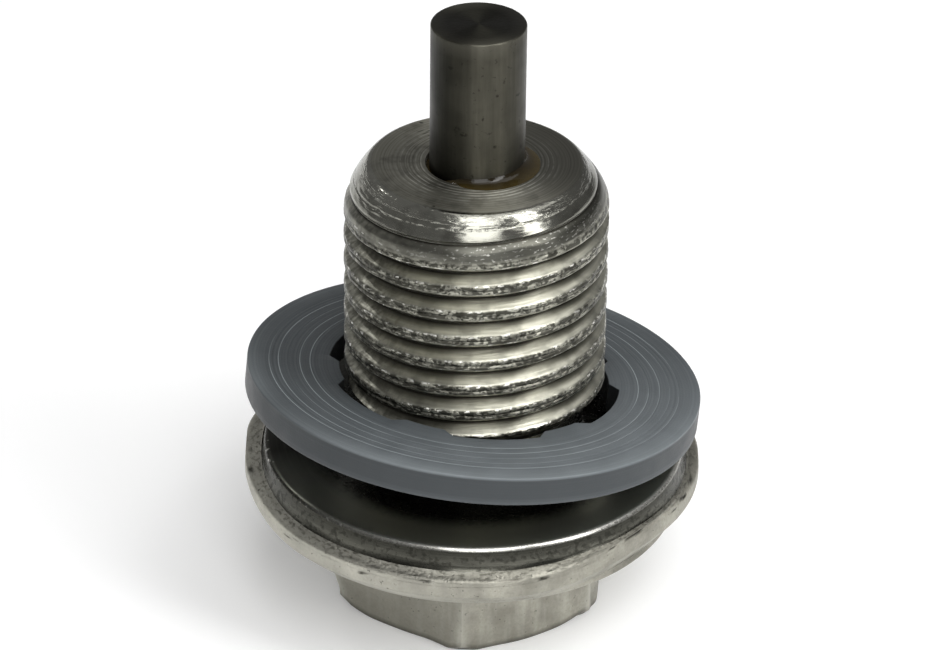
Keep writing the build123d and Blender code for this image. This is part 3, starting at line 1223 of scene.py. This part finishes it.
    def flange(self) -> Surface:
        """The forged bulge, uneven and pitted, and the turned land, seal face and neck.

        Both are outlines carried round the axis. Lobes push the bulge out or in and lift it, and the land's
        foot is moved up its own slope with it. A soft minimum keeps the bulge within its widest reach on
        either side.

        Returns:
            The surface.
        """
        outline = rounded_outline([
            (self.underside_radius, self.head_height, 0), self.lip, self.rim_bottom, self.rim_top, self.land_foot,
            self.seal_edge, self.neck_foot, (self.neck_foot[0], self.neck_top, 0),
        ])
        border = int(np.argmin(np.hypot(*(outline - self.land_foot[:2]).T))) + 1
        forged, free = self.forged_band(refined(outline[:border], self.bulge_span))
        turned = self.turned_band(refined(outline[border - 1:], 0.3))
        outward, upward = self.uneven_forging()
        upward = upward + smooth_noise((1, self.columns), (1, 3), self.rng) * self.raggedness
        on_land = smooth_step(forged.height, 7.0, self.land_foot[1])
        self.lift(forged, smooth_step(forged.height, 5.4, 6.4) * upward, on_land)
        forged.radius += free * outward
        across = np.cos(self.angles)
        limit = np.where(across < 0, self.left_limit, self.right_limit) / np.maximum(np.abs(across), 0.75)
        forged.radius = soft_minimum(forged.radius, limit[None, :], 0.06)
        still = np.clip(turned.height - self.land_foot[1], 0, 1)
        self.lift(turned, (1 - still) * upward, 1.0)
        return stacked([forged, turned])

    def forged_band(self, outline: Array) -> tuple[Surface, Array]:
        """The bulge with broad waves, lumps and small pits that crowd towards the land.

        Args:
            outline: Its (radius, height) points, from the head to the border with the land.

        Returns:
            The surface with its pit and soil masks, and how free each point is to move: nought at either end.
        """
        forged = turned_surface(self.angles, outline, Zone.FORGED.value)
        shape, foot = forged.radius.shape, self.land_foot[1]
        waves = smooth_noise(shape, (7, 12), self.rng) * self.wave_height
        lumps = smooth_noise(shape, (2.2, 4), self.rng) * self.lump_height
        crowded = smooth_step(forged.height, self.rim_bottom[1] + 0.3, foot - 0.1)
        pits = smooth_step(smooth_noise(shape, (0.9, 1.1), self.rng) + crowded, 2.1, 2.9)
        free = smooth_step(forged.height, self.head_height, self.head_height + 0.4)
        free = free * (1 - smooth_step(forged.height, foot - 0.3, foot))
        forged.radius += free * (waves - self.bulge_inset + lumps - pits * self.pit_depth)
        forged.radius = soft_minimum(forged.radius, np.full_like(forged.radius, self.rim_limit), 0.1)
        to_border = np.cumsum(np.hypot(*np.diff(outline[::-1], axis=0).T))
        from_border = np.append(to_border[::-1], 0)[:, None] * np.ones_like(self.angles)
        forged.masks = {"pit": pits * free, "soil": 1 - smooth_step(from_border, 0.0, self.soil_reach)}
        return forged, free

    def turned_band(self, outline: Array) -> Surface:
        """The land, seal face and neck, with masks for the face's edge (painted highlight), the face (painted sheen)
        and the land's foot (lighter than the painted shade above it).

        Args:
            outline: Its (radius, height) points, from the border to the top of the neck.

        Returns:
            The surface.
        """
        turned = turned_surface(self.angles, outline, Zone.TURNED.value)
        edge_radius, level = self.seal_edge[:2]
        from_edge = np.hypot(turned.radius - edge_radius, turned.height - level)
        on_face = smooth_step(turned.height, level - 0.06, level - 0.01)
        turned.masks = {
            "edge": 1 - smooth_step(from_edge, *self.edge_width),
            # The face mask starts beyond face_reach, so near the neck the face keeps the dark colour as painted shade.
            "face": on_face * smooth_step(turned.radius, *self.face_reach),
            "foot": 1 - smooth_step(turned.height, self.land_foot[1], level - 0.3),
        }
        return turned

    def uneven_forging(self) -> tuple[Array, Array]:
        """How far the lobes push the bulge out and lift it at each column.

        Returns:
            Outward and upward, one number per column each.
        """
        outward = self.bells(tuple((middle, width, out) for middle, width, out, _ in self.lobes))
        upward = self.bells(tuple((middle, width, up) for middle, width, _, up in self.lobes))
        return outward, upward

    def lift(self, surface: Surface, rise: Array, on_land: Array | float) -> None:
        """Raise a surface by the given rise and, where it is on the land, draw it in along the land's slope.

        Args:
            surface: The surface, changed in place.
            rise: How far up.
            on_land: One where a point slides along the land.
        """
        slope = (self.land_foot[0] - self.seal_edge[0]) / (self.seal_edge[1] - self.land_foot[1])
        surface.height = surface.height + rise
        surface.radius = surface.radius - rise * on_land * slope

    def thread_rows(self) -> Array:
        """The offsets from the crest's middle, over one pitch, at which the thread has rows."""
        near = np.array([0.0, 0.03, 0.08, 0.13, 0.18, 0.23, 0.28, 0.34, 0.43, 0.53, 0.64])
        return np.sort(np.concatenate([-near[1:], near, [self.pitch / 2]])) + self.pitch / 2

    def thread_profile(self, offset: Array) -> Array:
        """The depth below the crest at an offset from its middle.

        The flank falls from the crest's edge by one over the tangent of its angle, and a soft minimum
        with the full depth rounds the root. The crest is two lips, each a parabola, with a seam between them.

        Args:
            offset: Distances along the axis from the crest's middle.

        Returns:
            The depths.
        """
        beside = np.abs(offset) - self.crest_width / 2
        fall = soft_minimum(beside / tan(radians(self.flank_angle)), np.full_like(beside, self.thread_depth), 0.5)
        from_lip = np.minimum(np.abs(offset), 0.34) / self.lip_place - 1
        return np.maximum(fall, self.lip_height * from_lip**2)

    def thread(self) -> Surface:
        """The thread, in rows that climb one pitch in a turn, cut off by the neck and the rounded point.

        Height = row + pitch x turn, kept between the neck and the end. Radius = major radius less the
        profile's depth, limited by a cone at the neck and by the point, where it falls by u^power of the way
        to the end face. The last groove fades out over the right-hand side.

        Returns:
            The surface.
        """
        turn = np.arange(self.columns) / self.columns
        rows_per_pitch = self.thread_rows()
        turns = int(np.ceil((self.end_height - self.neck_top) / self.pitch)) + 2
        first_turn = np.floor((self.neck_top - self.root_at_front) / self.pitch) - 1
        lap = np.arange(turns + 1)[:, None] + first_turn
        seam_shift = self.pitch * (self.corner_angle + 90) / -360
        rows = (self.root_at_front - seam_shift + self.pitch * lap + rows_per_pitch[None, :]).ravel()
        raw_height = rows[:, None] + self.pitch * turn[None, :]
        begin, finish = (self.root_at_front + part for part in self.run_out_span)
        run_out = self.run_out_rise * smooth_step(raw_height, begin, finish)
        height = np.clip(raw_height + run_out, self.neck_top, self.point_foot)
        offset = np.tile(rows_per_pitch - self.pitch / 2, turns + 1)[:, None] * np.ones_like(turn)

        depth = self.thread_profile(offset)
        groove_turns = (raw_height - offset + np.sign(offset) * self.pitch / 2 - self.root_at_front) / self.pitch
        depth = np.maximum(depth - self.thread_depth * self.groove_fade(groove_turns), 0)
        point = self.point_radius(height)
        radius = point - depth + self.crest_roughness(turns + 1, len(rows_per_pitch), offset)
        limit = np.minimum(point, self.neck_foot[0] + height - self.neck_top)
        at_end = (height <= self.neck_top) | (height >= self.point_foot)
        radius = np.where(at_end, limit, soft_minimum(radius, limit, 0.02))

        unwound = np.repeat(np.arange(turns + 1), len(rows_per_pitch))[:, None] + turn[None, :]
        masks = {
            "thread_depth": np.clip((np.minimum(self.major_radius, point) - radius) / self.thread_depth, 0, 1),
            "thread_offset": offset,
            "thread_along": unwound * 2 * pi * self.major_radius,
            "plain": self.plain_share(raw_height - offset, offset),
            "point": self.point_share(raw_height - offset),
        }
        zones = np.full(len(rows), Zone.THREAD.value)
        return Surface(self.angles, radius, height, zones, masks)

    def plain_share(self, crest_height: Array, offset: Array) -> Array:
        """How smooth the steel is: one on the point and on the upper side of the last ridge, nought below it.

        Args:
            crest_height: The height of the crest's middle at each point.
            offset: Distances along the axis from the crest's middle.

        Returns:
            The share at each point.
        """
        ridge_turns = (crest_height - self.root_at_front) / self.pitch + 0.5
        last_ridge = smooth_step(ridge_turns, -0.4, 0.05) * smooth_step(offset, 0.02, 0.16)
        return np.maximum(last_ridge, self.point_share(crest_height))

    def point_share(self, crest_height: Array) -> Array:
        """One on the plain point, above the last groove, and nought below it."""
        return smooth_step((crest_height - self.root_at_front) / self.pitch, 0.05, 0.25)

    def point_radius(self, height: Array) -> Array:
        """The point's radius at a height: major radius less its whole fall times u^power.

        Here u is the share of the way from the point's start to the end face. Start, power and whole fall vary
        with the cosine and sine of the angle, because the point was turned a little off the thread's axis. The
        last stretch falls further by a quarter ellipse, which rounds the edge of the end face.

        Args:
            height: Heights, rows by columns.

        Returns:
            The radii.
        """
        across, back = np.cos(self.angles)[None, :], np.sin(self.angles)[None, :]
        start = self.end_height - self.point_length + self.point_skew * across
        share = np.clip((height - start) / (self.end_height - start), 0, 1)
        whole = self.major_radius - self.end_face_radius + self.point_shift[0] * across + self.point_shift[1] * back
        power, change = self.point_power
        fall = whole * share ** (power - change * across)
        reach, depth = self.end_rounding
        near_end = np.clip((height - self.end_height) / depth + 1, 0, 1)
        return self.major_radius - fall - reach * (1 - np.sqrt(1 - near_end**2))

    def point(self) -> Surface:
        """The plain tip of the point, in level rows that crowd together where its edge turns over.

        Returns:
            The surface.
        """
        share = np.sin(np.linspace(0, pi / 2, 13))[:, None]
        height = self.point_foot + (self.end_height - self.point_foot) * share * np.ones_like(self.angles)
        rough = smooth_noise(height.shape, (1.5, 6), self.rng) * self.point_roughness * np.sin(pi * share)
        radius = self.point_radius(height) + rough
        return Surface(self.angles, radius, height, np.full(len(height), Zone.END.value))

    def groove_fade(self, groove_turns: Array) -> Array:
        """How far the groove has run out, from nought a turn before the front to one half a turn after it."""
        return 0.62 * smooth_step(groove_turns, -0.95, -0.1) + 0.38 * smooth_step(groove_turns, 0.0, 0.5)

    def crest_roughness(self, turns: int, per_pitch: int, offset: Array) -> Array:
        """Small torn hollows along the crest, random along the unwound thread, faded out down the flanks.

        The random field is laid out along the unwound thread, so it runs on from turn to turn.

        Args:
            turns: How many turns the rows make.
            per_pitch: How many rows a turn has.
            offset: Distances along the axis from the crest's middle.

        Returns:
            What is added to each point's radius.
        """
        along = smooth_noise((turns * self.columns, per_pitch), (1.1, 1.0), self.rng)
        field_values = along.reshape(turns, self.columns, per_pitch).transpose(0, 2, 1).reshape(-1, self.columns)
        on_crest = 1 - smooth_step(np.abs(offset), self.crest_width / 2, self.crest_width / 2 + 0.12)
        height, middle, highest = self.crest_tear
        return on_crest * np.minimum(field_values * height + middle, highest)

    def step_seam(self, faces: Array, start: int, stop: int) -> None:
        """Join the thread's last column to its first one, a full pitch of rows further up, kept within the thread.

        Args:
            faces: The faces' point numbers, changed in place.
            start: The thread's first row.
            stop: The row after its last one.
        """
        climb = len(self.thread_rows())
        rows = np.arange(start, stop - 1)
        for corner, ahead in ((1, 0), (2, 1)):
            faces[rows, -1, corner] = np.minimum(rows + ahead + climb, stop - 1) * self.columns

    def end(self) -> Surface:
        """The end face, the hole's wall and the drill point's cone, closed on the axis.

        Beyond four millimetres the face's rows are stretched smoothly to the edge where the point ends.

        Returns:
            The surface.
        """
        cone = self.hole_radius / tan(radians(self.drill_angle / 2))
        edge = self.end_face_radius - self.end_rounding[0]
        outline = rounded_outline([
            (edge, self.end_height, 0), (self.hole_radius, self.end_height, 0.06),
            (self.hole_radius, self.hole_foot, 0), (0, self.hole_foot - cone, 0),
        ])
        past_mouth = 7
        outline = np.vstack([refined(outline[:past_mouth], 0.3), outline[past_mouth:]])
        surface = turned_surface(self.angles, outline, Zone.END.value)
        stretch = self.point_radius(np.full((1, 1), self.end_height)) - edge
        surface.radius += stretch * smooth_step(surface.radius, 4.0, edge)
        return surface


@dataclass
class Magnet:
    """The ground bar magnet, a turned skin with lightly broken edges."""

    columns: int = 144
    radius: float = 2.5
    foot: float = 18.72
    top: float = 33.72
    edge: float = 0.09

    def build(self) -> bpy.types.Object:
        """An outline from the foot's middle to the top's middle, carried round the axis.

        Returns:
            The piece.
        """
        angles = 2 * pi * np.arange(self.columns) / self.columns
        wall = [(self.radius, height, self.edge) for height in (self.foot, self.top)]
        outline = rounded_outline([(0, self.foot, 0), *wall, (0, self.top, 0)], steps=4)
        skin = turned_surface(angles, refined(outline, 0.9), 0)
        reach = np.hypot(skin.radius - self.radius, skin.height - self.top)
        skin.masks["edge"] = 0.5 * (1 - smooth_step(reach, 0.05, 0.16))
        # The top face, which the finish darkens as painted shade.
        skin.masks["top"] = smooth_step(skin.height, self.top - 0.04, self.top)
        faces = ring_faces(len(skin.radius), self.columns)
        return add_mesh("magnet_bar", skin.points(), faces, masks=skin.masks)

    def dress(self, piece: bpy.types.Object, groups: SharedGroups) -> None:
        """Give the piece its ground finish."""
        piece.data.materials.append(MagnetFinish().material(groups))


@dataclass
class AdhesiveBead:
    """The adhesive: a sleeve in the hole's gap that swells into a bead on the magnet's front right."""

    columns: int = 180
    seed: int = 5
    inner: float = 2.505
    hole: float = 2.695
    foot: float = 18.92
    face: float = 25.65
    shift: float = 0.5
    shift_angle: float = -25.0
    bead_radius: float = 2.87
    bead_height: float = 0.28
    crown: tuple[float, float] = (0.75, 0.25)
    least_height: float = 0.05
    edge_waves: float = 0.035
    full_reach: tuple[float, float] = (-0.12, 0.25)
    sunk: float = 0.35
    lap: float = 0.004

    def build(self) -> bpy.types.Object:
        """A ring-shaped section carried round the magnet.

        The bead's edge is a circle whose centre is shifted from the axis, at the distance
        d cos a + sqrt(R^2 - d^2 sin^2 a), with small waves. Between the magnet and that edge the top is a
        hollow curve, height x (0.8 (1 - t)^5 + 0.2 (1 - t^2)). Where the edge falls inside the hole, the top
        sinks into the gap.

        Returns:
            The piece.
        """
        rng = np.random.default_rng(self.seed)
        angles = 2 * pi * np.arange(self.columns) / self.columns
        away = angles - radians(self.shift_angle)
        edge = self.shift * np.cos(away) + np.sqrt(self.bead_radius**2 - (self.shift * np.sin(away)) ** 2)
        edge += smooth_noise((1, self.columns), (1, 5), rng)[0] * self.edge_waves
        full = smooth_step(edge, *(self.hole + part for part in self.full_reach))
        edge = np.maximum(edge, self.hole)
        level = self.face + self.lap - self.sunk * (1 - full)
        crown = self.bead_height * full * (self.crown[0] + self.crown[1] * np.cos(away)) + self.least_height
        shares = np.linspace(0, 1, 13)[:, None] ** 1.4
        top_radius = self.inner + (edge - self.inner) * shares
        top_height = level + crown * (0.8 * (1 - shares) ** 5 + 0.2 * (1 - shares**2)) * np.ones_like(edge)
        ones = np.ones_like(angles)
        radius = np.vstack([ones * self.inner, top_radius, np.minimum(edge, self.hole), ones * self.hole])
        height = np.vstack([ones * self.foot, top_height, level - self.lap, ones * self.foot])
        thickness = np.vstack([ones * 0.5, (1 - shares) * full + 0 * shares, ones * 0, ones * 0])
        radius, height, thickness = (np.vstack([rows, rows[:1]]) for rows in (radius, height, thickness))
        skin = Surface(angles, radius, height, np.zeros(len(radius)), {"thickness": thickness})
        faces = ring_faces(len(skin.radius), self.columns)[..., ::-1]
        return add_mesh("adhesive_bead", skin.points(), faces, masks=skin.masks)

    def dress(self, piece: bpy.types.Object, groups: SharedGroups) -> None:
        """Give the piece its glossy finish."""
        piece.data.materials.append(AdhesiveFinish().material(groups))


@dataclass
class NylonWasher:
    """The flat washer with six teeth in its bore, tilted as it hangs on the thread."""

    radius: float = 12.212
    thickness: float = 1.57
    edge: float = 0.07
    bore: float = 7.8
    tip: float = 7.25
    teeth: int = 6
    phase: float = 9.1
    tip_half_angle: float = 8.3
    root_half_angle: float = 12.8
    columns_per_tooth: int = 64
    lines: tuple[float, ...] = (8.85, 9.4, 10.0, 10.55, 11.05)
    line_depth: float = 0.015
    line_spread: tuple[float, ...] = (-0.12, -0.04, 0.0, 0.04, 0.12)
    corner_steps: int = 4
    wobble: float = 0.006
    seed: int = 8
    centre: tuple[float, float, float] = (0.0, 0.0, 12.78)
    tilt: float = 7.1
    low_side: float = 44.6

    def lean(self) -> Matrix:
        """The turn and shift that carry the flat washer to where it hangs, in metres.

        Returns:
            The matrix.
        """
        side = Matrix.Rotation(radians(self.low_side), 4, "Z")
        tip_over = Matrix.Rotation(radians(self.tilt), 4, "Y")
        return Matrix.Translation(Vector(self.centre) * MM) @ side @ tip_over @ side.inverted()

    def column_angles(self) -> Array:
        """Even columns over each tooth's share of the turn, with pairs of close ones at the teeth's corners.

        Returns:
            The angles in radians.
        """
        sector = 360 / self.teeth
        corners = np.array([self.tip_half_angle, self.root_half_angle])
        beside = (corners[:, None] + np.array([-0.35, 0, 0.35])).ravel()
        even = np.linspace(-sector / 2, sector / 2, self.columns_per_tooth, endpoint=False)
        even = even[np.abs(np.abs(even)[:, None] - beside[None, :]).min(axis=1) > 0.25]
        one = np.sort(np.concatenate([even, beside, -beside]))
        return np.radians((one[None, :] + self.phase + sector * np.arange(self.teeth)[:, None]).ravel())

    def bore_radius(self, angles: Array) -> Array:
        """The bore's radius: the tip circle, a straight slanting side, then the root circle.

        The side is a straight line in plan between its two corners, so its radius is
        a / sin(angle + b) for the line through them.

        Args:
            angles: The columns' angles in radians.

        Returns:
            One radius per column.
        """
        sector = 2 * pi / self.teeth
        beside = np.abs((angles - radians(self.phase) + sector / 2) % sector - sector / 2)
        low, high = radians(self.tip_half_angle), radians(self.root_half_angle)
        start = np.array([self.tip * cos(low), self.tip * sin(low)])
        end = np.array([self.bore * cos(high), self.bore * sin(high)])
        normal = np.array([end[1] - start[1], start[0] - end[0]])
        along = (start @ normal) / (np.cos(beside) * normal[0] + np.sin(beside) * normal[1])
        return np.where(beside <= low, self.tip, np.where(beside >= high, self.bore, along))

    def section(self) -> tuple[Array, Array, Array]:
        """The washer's section, from its bore over the top, round the rim and back along the bottom.

        Returns:
            For each row, its place (millimetres out from the bore, or in from the rim if negative, or the radius itself
            above one), its depth below the top, and its mask: how pale (the ring lines, and a painted highlight on the
            top's outer and the bottom's inner rounded edge), or, if negative, how dark (painted shade on the walls and
            the other rounded edges).
        """
        rounding, edge, bottom = np.linspace(0, pi / 2, self.corner_steps), self.edge, self.thickness
        rows = [(0.0, bottom / 2, -1.0)]
        rows += [(edge * (1 - cos(a)), edge * (1 - sin(a)), -0.8 * cos(a)) for a in rounding]
        for line in self.lines:
            rows += [(line + to, 0.0 if to else self.line_depth, 0.0 if to else 1.0) for to in self.line_spread]
        rows += [(-edge * (1 - sin(a)), edge * (1 - cos(a)), 0.3) for a in rounding]
        rows += [(-1e-6, bottom * share, -1.0) for share in (0.12, 0.4, 0.75)]
        rows += [(-edge * (1 - cos(a)), bottom - edge * (1 - sin(a)), -0.7) for a in rounding]
        rows += [(edge * (1 - sin(a)), bottom - edge * (1 - cos(a)), 0.2) for a in rounding]
        return tuple(np.array(values) for values in zip(*rows))

    def build(self) -> bpy.types.Object:
        """The section carried round, its bore side following the teeth and its rim side the circle.

        Returns:
            The piece.
        """
        rng = np.random.default_rng(self.seed)
        angles = self.column_angles()
        bore = self.bore_radius(angles)
        place, depth, pale = self.section()
        row = np.arange(len(place))
        inner = (row <= self.corner_steps) | (row >= len(place) - self.corner_steps)
        beside = np.where(inner[:, None], bore + place[:, None], self.radius + place[:, None])
        radius = np.where((place > 1)[:, None], place[:, None] + 0 * bore, beside)
        wobble = smooth_noise(radius.shape, (1, 9), rng) * self.wobble
        outer = ~inner & (place <= 0)
        radius = radius + np.where(outer[:, None], wobble, 0)
        height = -depth[:, None] * np.ones_like(bore)
        worn = np.clip(0.6 + 0.45 * smooth_noise(radius.shape, (1, 12), rng), 0, 1)
        # The pale mask carries a painted highlight on the rounded edges, and the side and bore masks carry painted
        # shade.
        masks = {
            "pale": np.maximum(pale, 0)[:, None] * worn,
            "side": np.maximum(-pale, 0)[:, None] * np.ones_like(bore),
            "bore": (inner & (depth > 0.03))[:, None] * np.ones_like(bore),
        }
        skin = Surface(angles, radius, height, np.zeros(len(place)), masks)
        points = np.concatenate([skin.points(), skin.points()[:1]])
        flat = points.reshape(-1, 3) * MM
        lean = np.array(self.lean())
        placed = (flat @ lean[:3, :3].T + lean[:3, 3]) / MM
        faces = ring_faces(len(points), len(angles))[..., ::-1]
        masks = {name: np.concatenate([values, values[:1]]) for name, values in masks.items()}
        return add_mesh("nylon_washer", placed, faces, masks=masks, sharp_angle=40)

    def dress(self, piece: bpy.types.Object, groups: SharedGroups) -> None:
        """Give the piece its nylon finish, with lathe lines about its own axis."""
        piece.data.materials.append(NylonFinish().material(groups, self.lean()))


# Stage


@dataclass(frozen=True)
class StudioCamera:
    """The camera that was fitted to the photograph. Lengths are in millimetres."""

    distance: float = 255.5
    elevation: float = radians(30.43)
    roll: float = 0.0129
    focal_pixels: float = 4790.05
    image_width: int = 950
    sensor: float = 36.0
    target: tuple[float, float, float] = (0.0, 0.0, 15.73)

    def build(self) -> None:
        """Stand the camera back along its line of sight and turn it by its small roll."""
        data = bpy.data.cameras.new("studio_camera")
        data.sensor_width = self.sensor
        data.lens = self.focal_pixels * self.sensor / self.image_width
        data.clip_start = 0.005
        data.clip_end = 20.0
        camera = bpy.data.objects.new("studio_camera", data)
        bpy.context.scene.collection.objects.link(camera)
        ahead = Vector((0, cos(self.elevation), -sin(self.elevation)))
        right = Vector((1, 0, 0))
        up = Vector((0, sin(self.elevation), cos(self.elevation)))
        across = right * cos(self.roll) + up * sin(self.roll)
        upright = up * cos(self.roll) - right * sin(self.roll)
        turn = Matrix((across, upright, -ahead)).transposed().to_4x4()
        place = (Vector(self.target) - ahead * self.distance) * MM
        camera.matrix_world = Matrix.Translation(place) @ turn
        bpy.context.scene.camera = camera


@dataclass(frozen=True)
class SoftBox:
    """One soft light: where it hangs round the object, how large it is, and how bright its face is."""

    name: str
    azimuth: float
    elevation: float
    width: float
    depth: float
    brightness: float
    distance: float = 0.5

    def build(self) -> None:
        """Hang the light facing the object. Its power is brightness x pi x area."""
        data = bpy.data.lights.new(self.name, "AREA")
        data.shape = "RECTANGLE"
        data.size = self.width
        data.size_y = self.depth
        data.energy = self.brightness * pi * self.width * self.depth
        lamp = bpy.data.objects.new(self.name, data)
        bpy.context.scene.collection.objects.link(lamp)
        around, above = radians(self.azimuth), radians(self.elevation)
        out = Vector((sin(around) * cos(above), -cos(around) * cos(above), sin(above)))
        lamp.location = out * self.distance + Vector((0, 0, 0.015))
        lamp.rotation_mode = "QUATERNION"
        lamp.rotation_quaternion = out.to_track_quat("Z", "Y")


@dataclass(frozen=True)
class Studio:
    """A pale floor, an even grey room and the soft lights."""

    floor_reach: float = 3.0
    floor_colour: Colour = (0.9, 0.9, 0.9)
    floor_lift: float = 0.18
    room_level: float = 0.22
    lights: tuple[SoftBox, ...] = (
        SoftBox("front_light", azimuth=5, elevation=40, width=0.26, depth=0.5, brightness=3.4),
        SoftBox("side_light", azimuth=58, elevation=42, width=0.13, depth=0.5, brightness=6.0),
        SoftBox("top_light", azimuth=90, elevation=72, width=0.5, depth=0.5, brightness=1.3),
        SoftBox("left_light", azimuth=-132, elevation=40, width=0.025, depth=0.03, brightness=30.0),
    )

    def build(self) -> None:
        """Make the floor, the room and the lights."""
        self.floor()
        self.room()
        for light in self.lights:
            light.build()

    def floor(self) -> None:
        """A wide square that shows as white and keeps the object's shadow.

        A faint glow that only the eye, mirrors and glass see lifts its colour to white.
        """
        reach = self.floor_reach / MM
        corners = np.array([(-reach, -reach, 0), (reach, -reach, 0), (reach, reach, 0), (-reach, reach, 0)])
        plane = add_mesh("pale_floor", corners, np.array([[0, 1, 2, 3]]))
        material, board, shader = open_material("pale_floor")
        shader.inputs["Base Color"].default_value = (*self.floor_colour, 1.0)
        shader.inputs["Roughness"].default_value = 0.9
        shader.inputs["Specular IOR Level"].default_value = 0.0
        seen = board.put("LightPath")
        looked_at = board.math("MAXIMUM", seen.outputs["Is Camera Ray"], seen.outputs["Is Glossy Ray"])
        looked_at = board.math("MAXIMUM", looked_at, seen.outputs["Is Transmission Ray"])
        glow = board.put("Emission", {"Strength": board.math("MULTIPLY", looked_at, self.floor_lift)})
        both = board.put("AddShader", {0: shader.outputs[0], 1: glow.outputs[0]})
        board.tree.links.new(both.outputs[0], board.tree.nodes["Material Output"].inputs["Surface"])
        plane.data.materials.append(material)

    def room(self) -> None:
        """An even grey room."""
        world = bpy.data.worlds.new("studio_room")
        bpy.context.scene.world = world
        world.use_nodes = True
        world.node_tree.nodes["Background"].inputs["Color"].default_value = (*[self.room_level] * 3, 1.0)


def main() -> None:
    """Build the pieces in order, dress them, set the stage, and report each piece."""
    logging.basicConfig(level=logging.INFO)
    bpy.context.scene.view_settings.view_transform = "Standard"
    groups = SharedGroups()
    assemblies = (
        (SteelPlug(), "plug_body", Slot.STEEL),
        (Magnet(), "magnet", Slot.MAGNET),
        (AdhesiveBead(), "magnet_adhesive", Slot.ADHESIVE),
        (NylonWasher(), "sealing_washer", Slot.NYLON),
    )
    for assembly, node, slot in assemblies:
        piece = assembly.build()
        assembly.dress(piece, groups)
        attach(piece, BODY)
        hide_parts(node)
        LOG.info("%s: %d faces, in place of %s", piece.name, len(piece.data.polygons), node)
    Studio().build()
    StudioCamera().build()


if __name__ == "__main__":
    main()
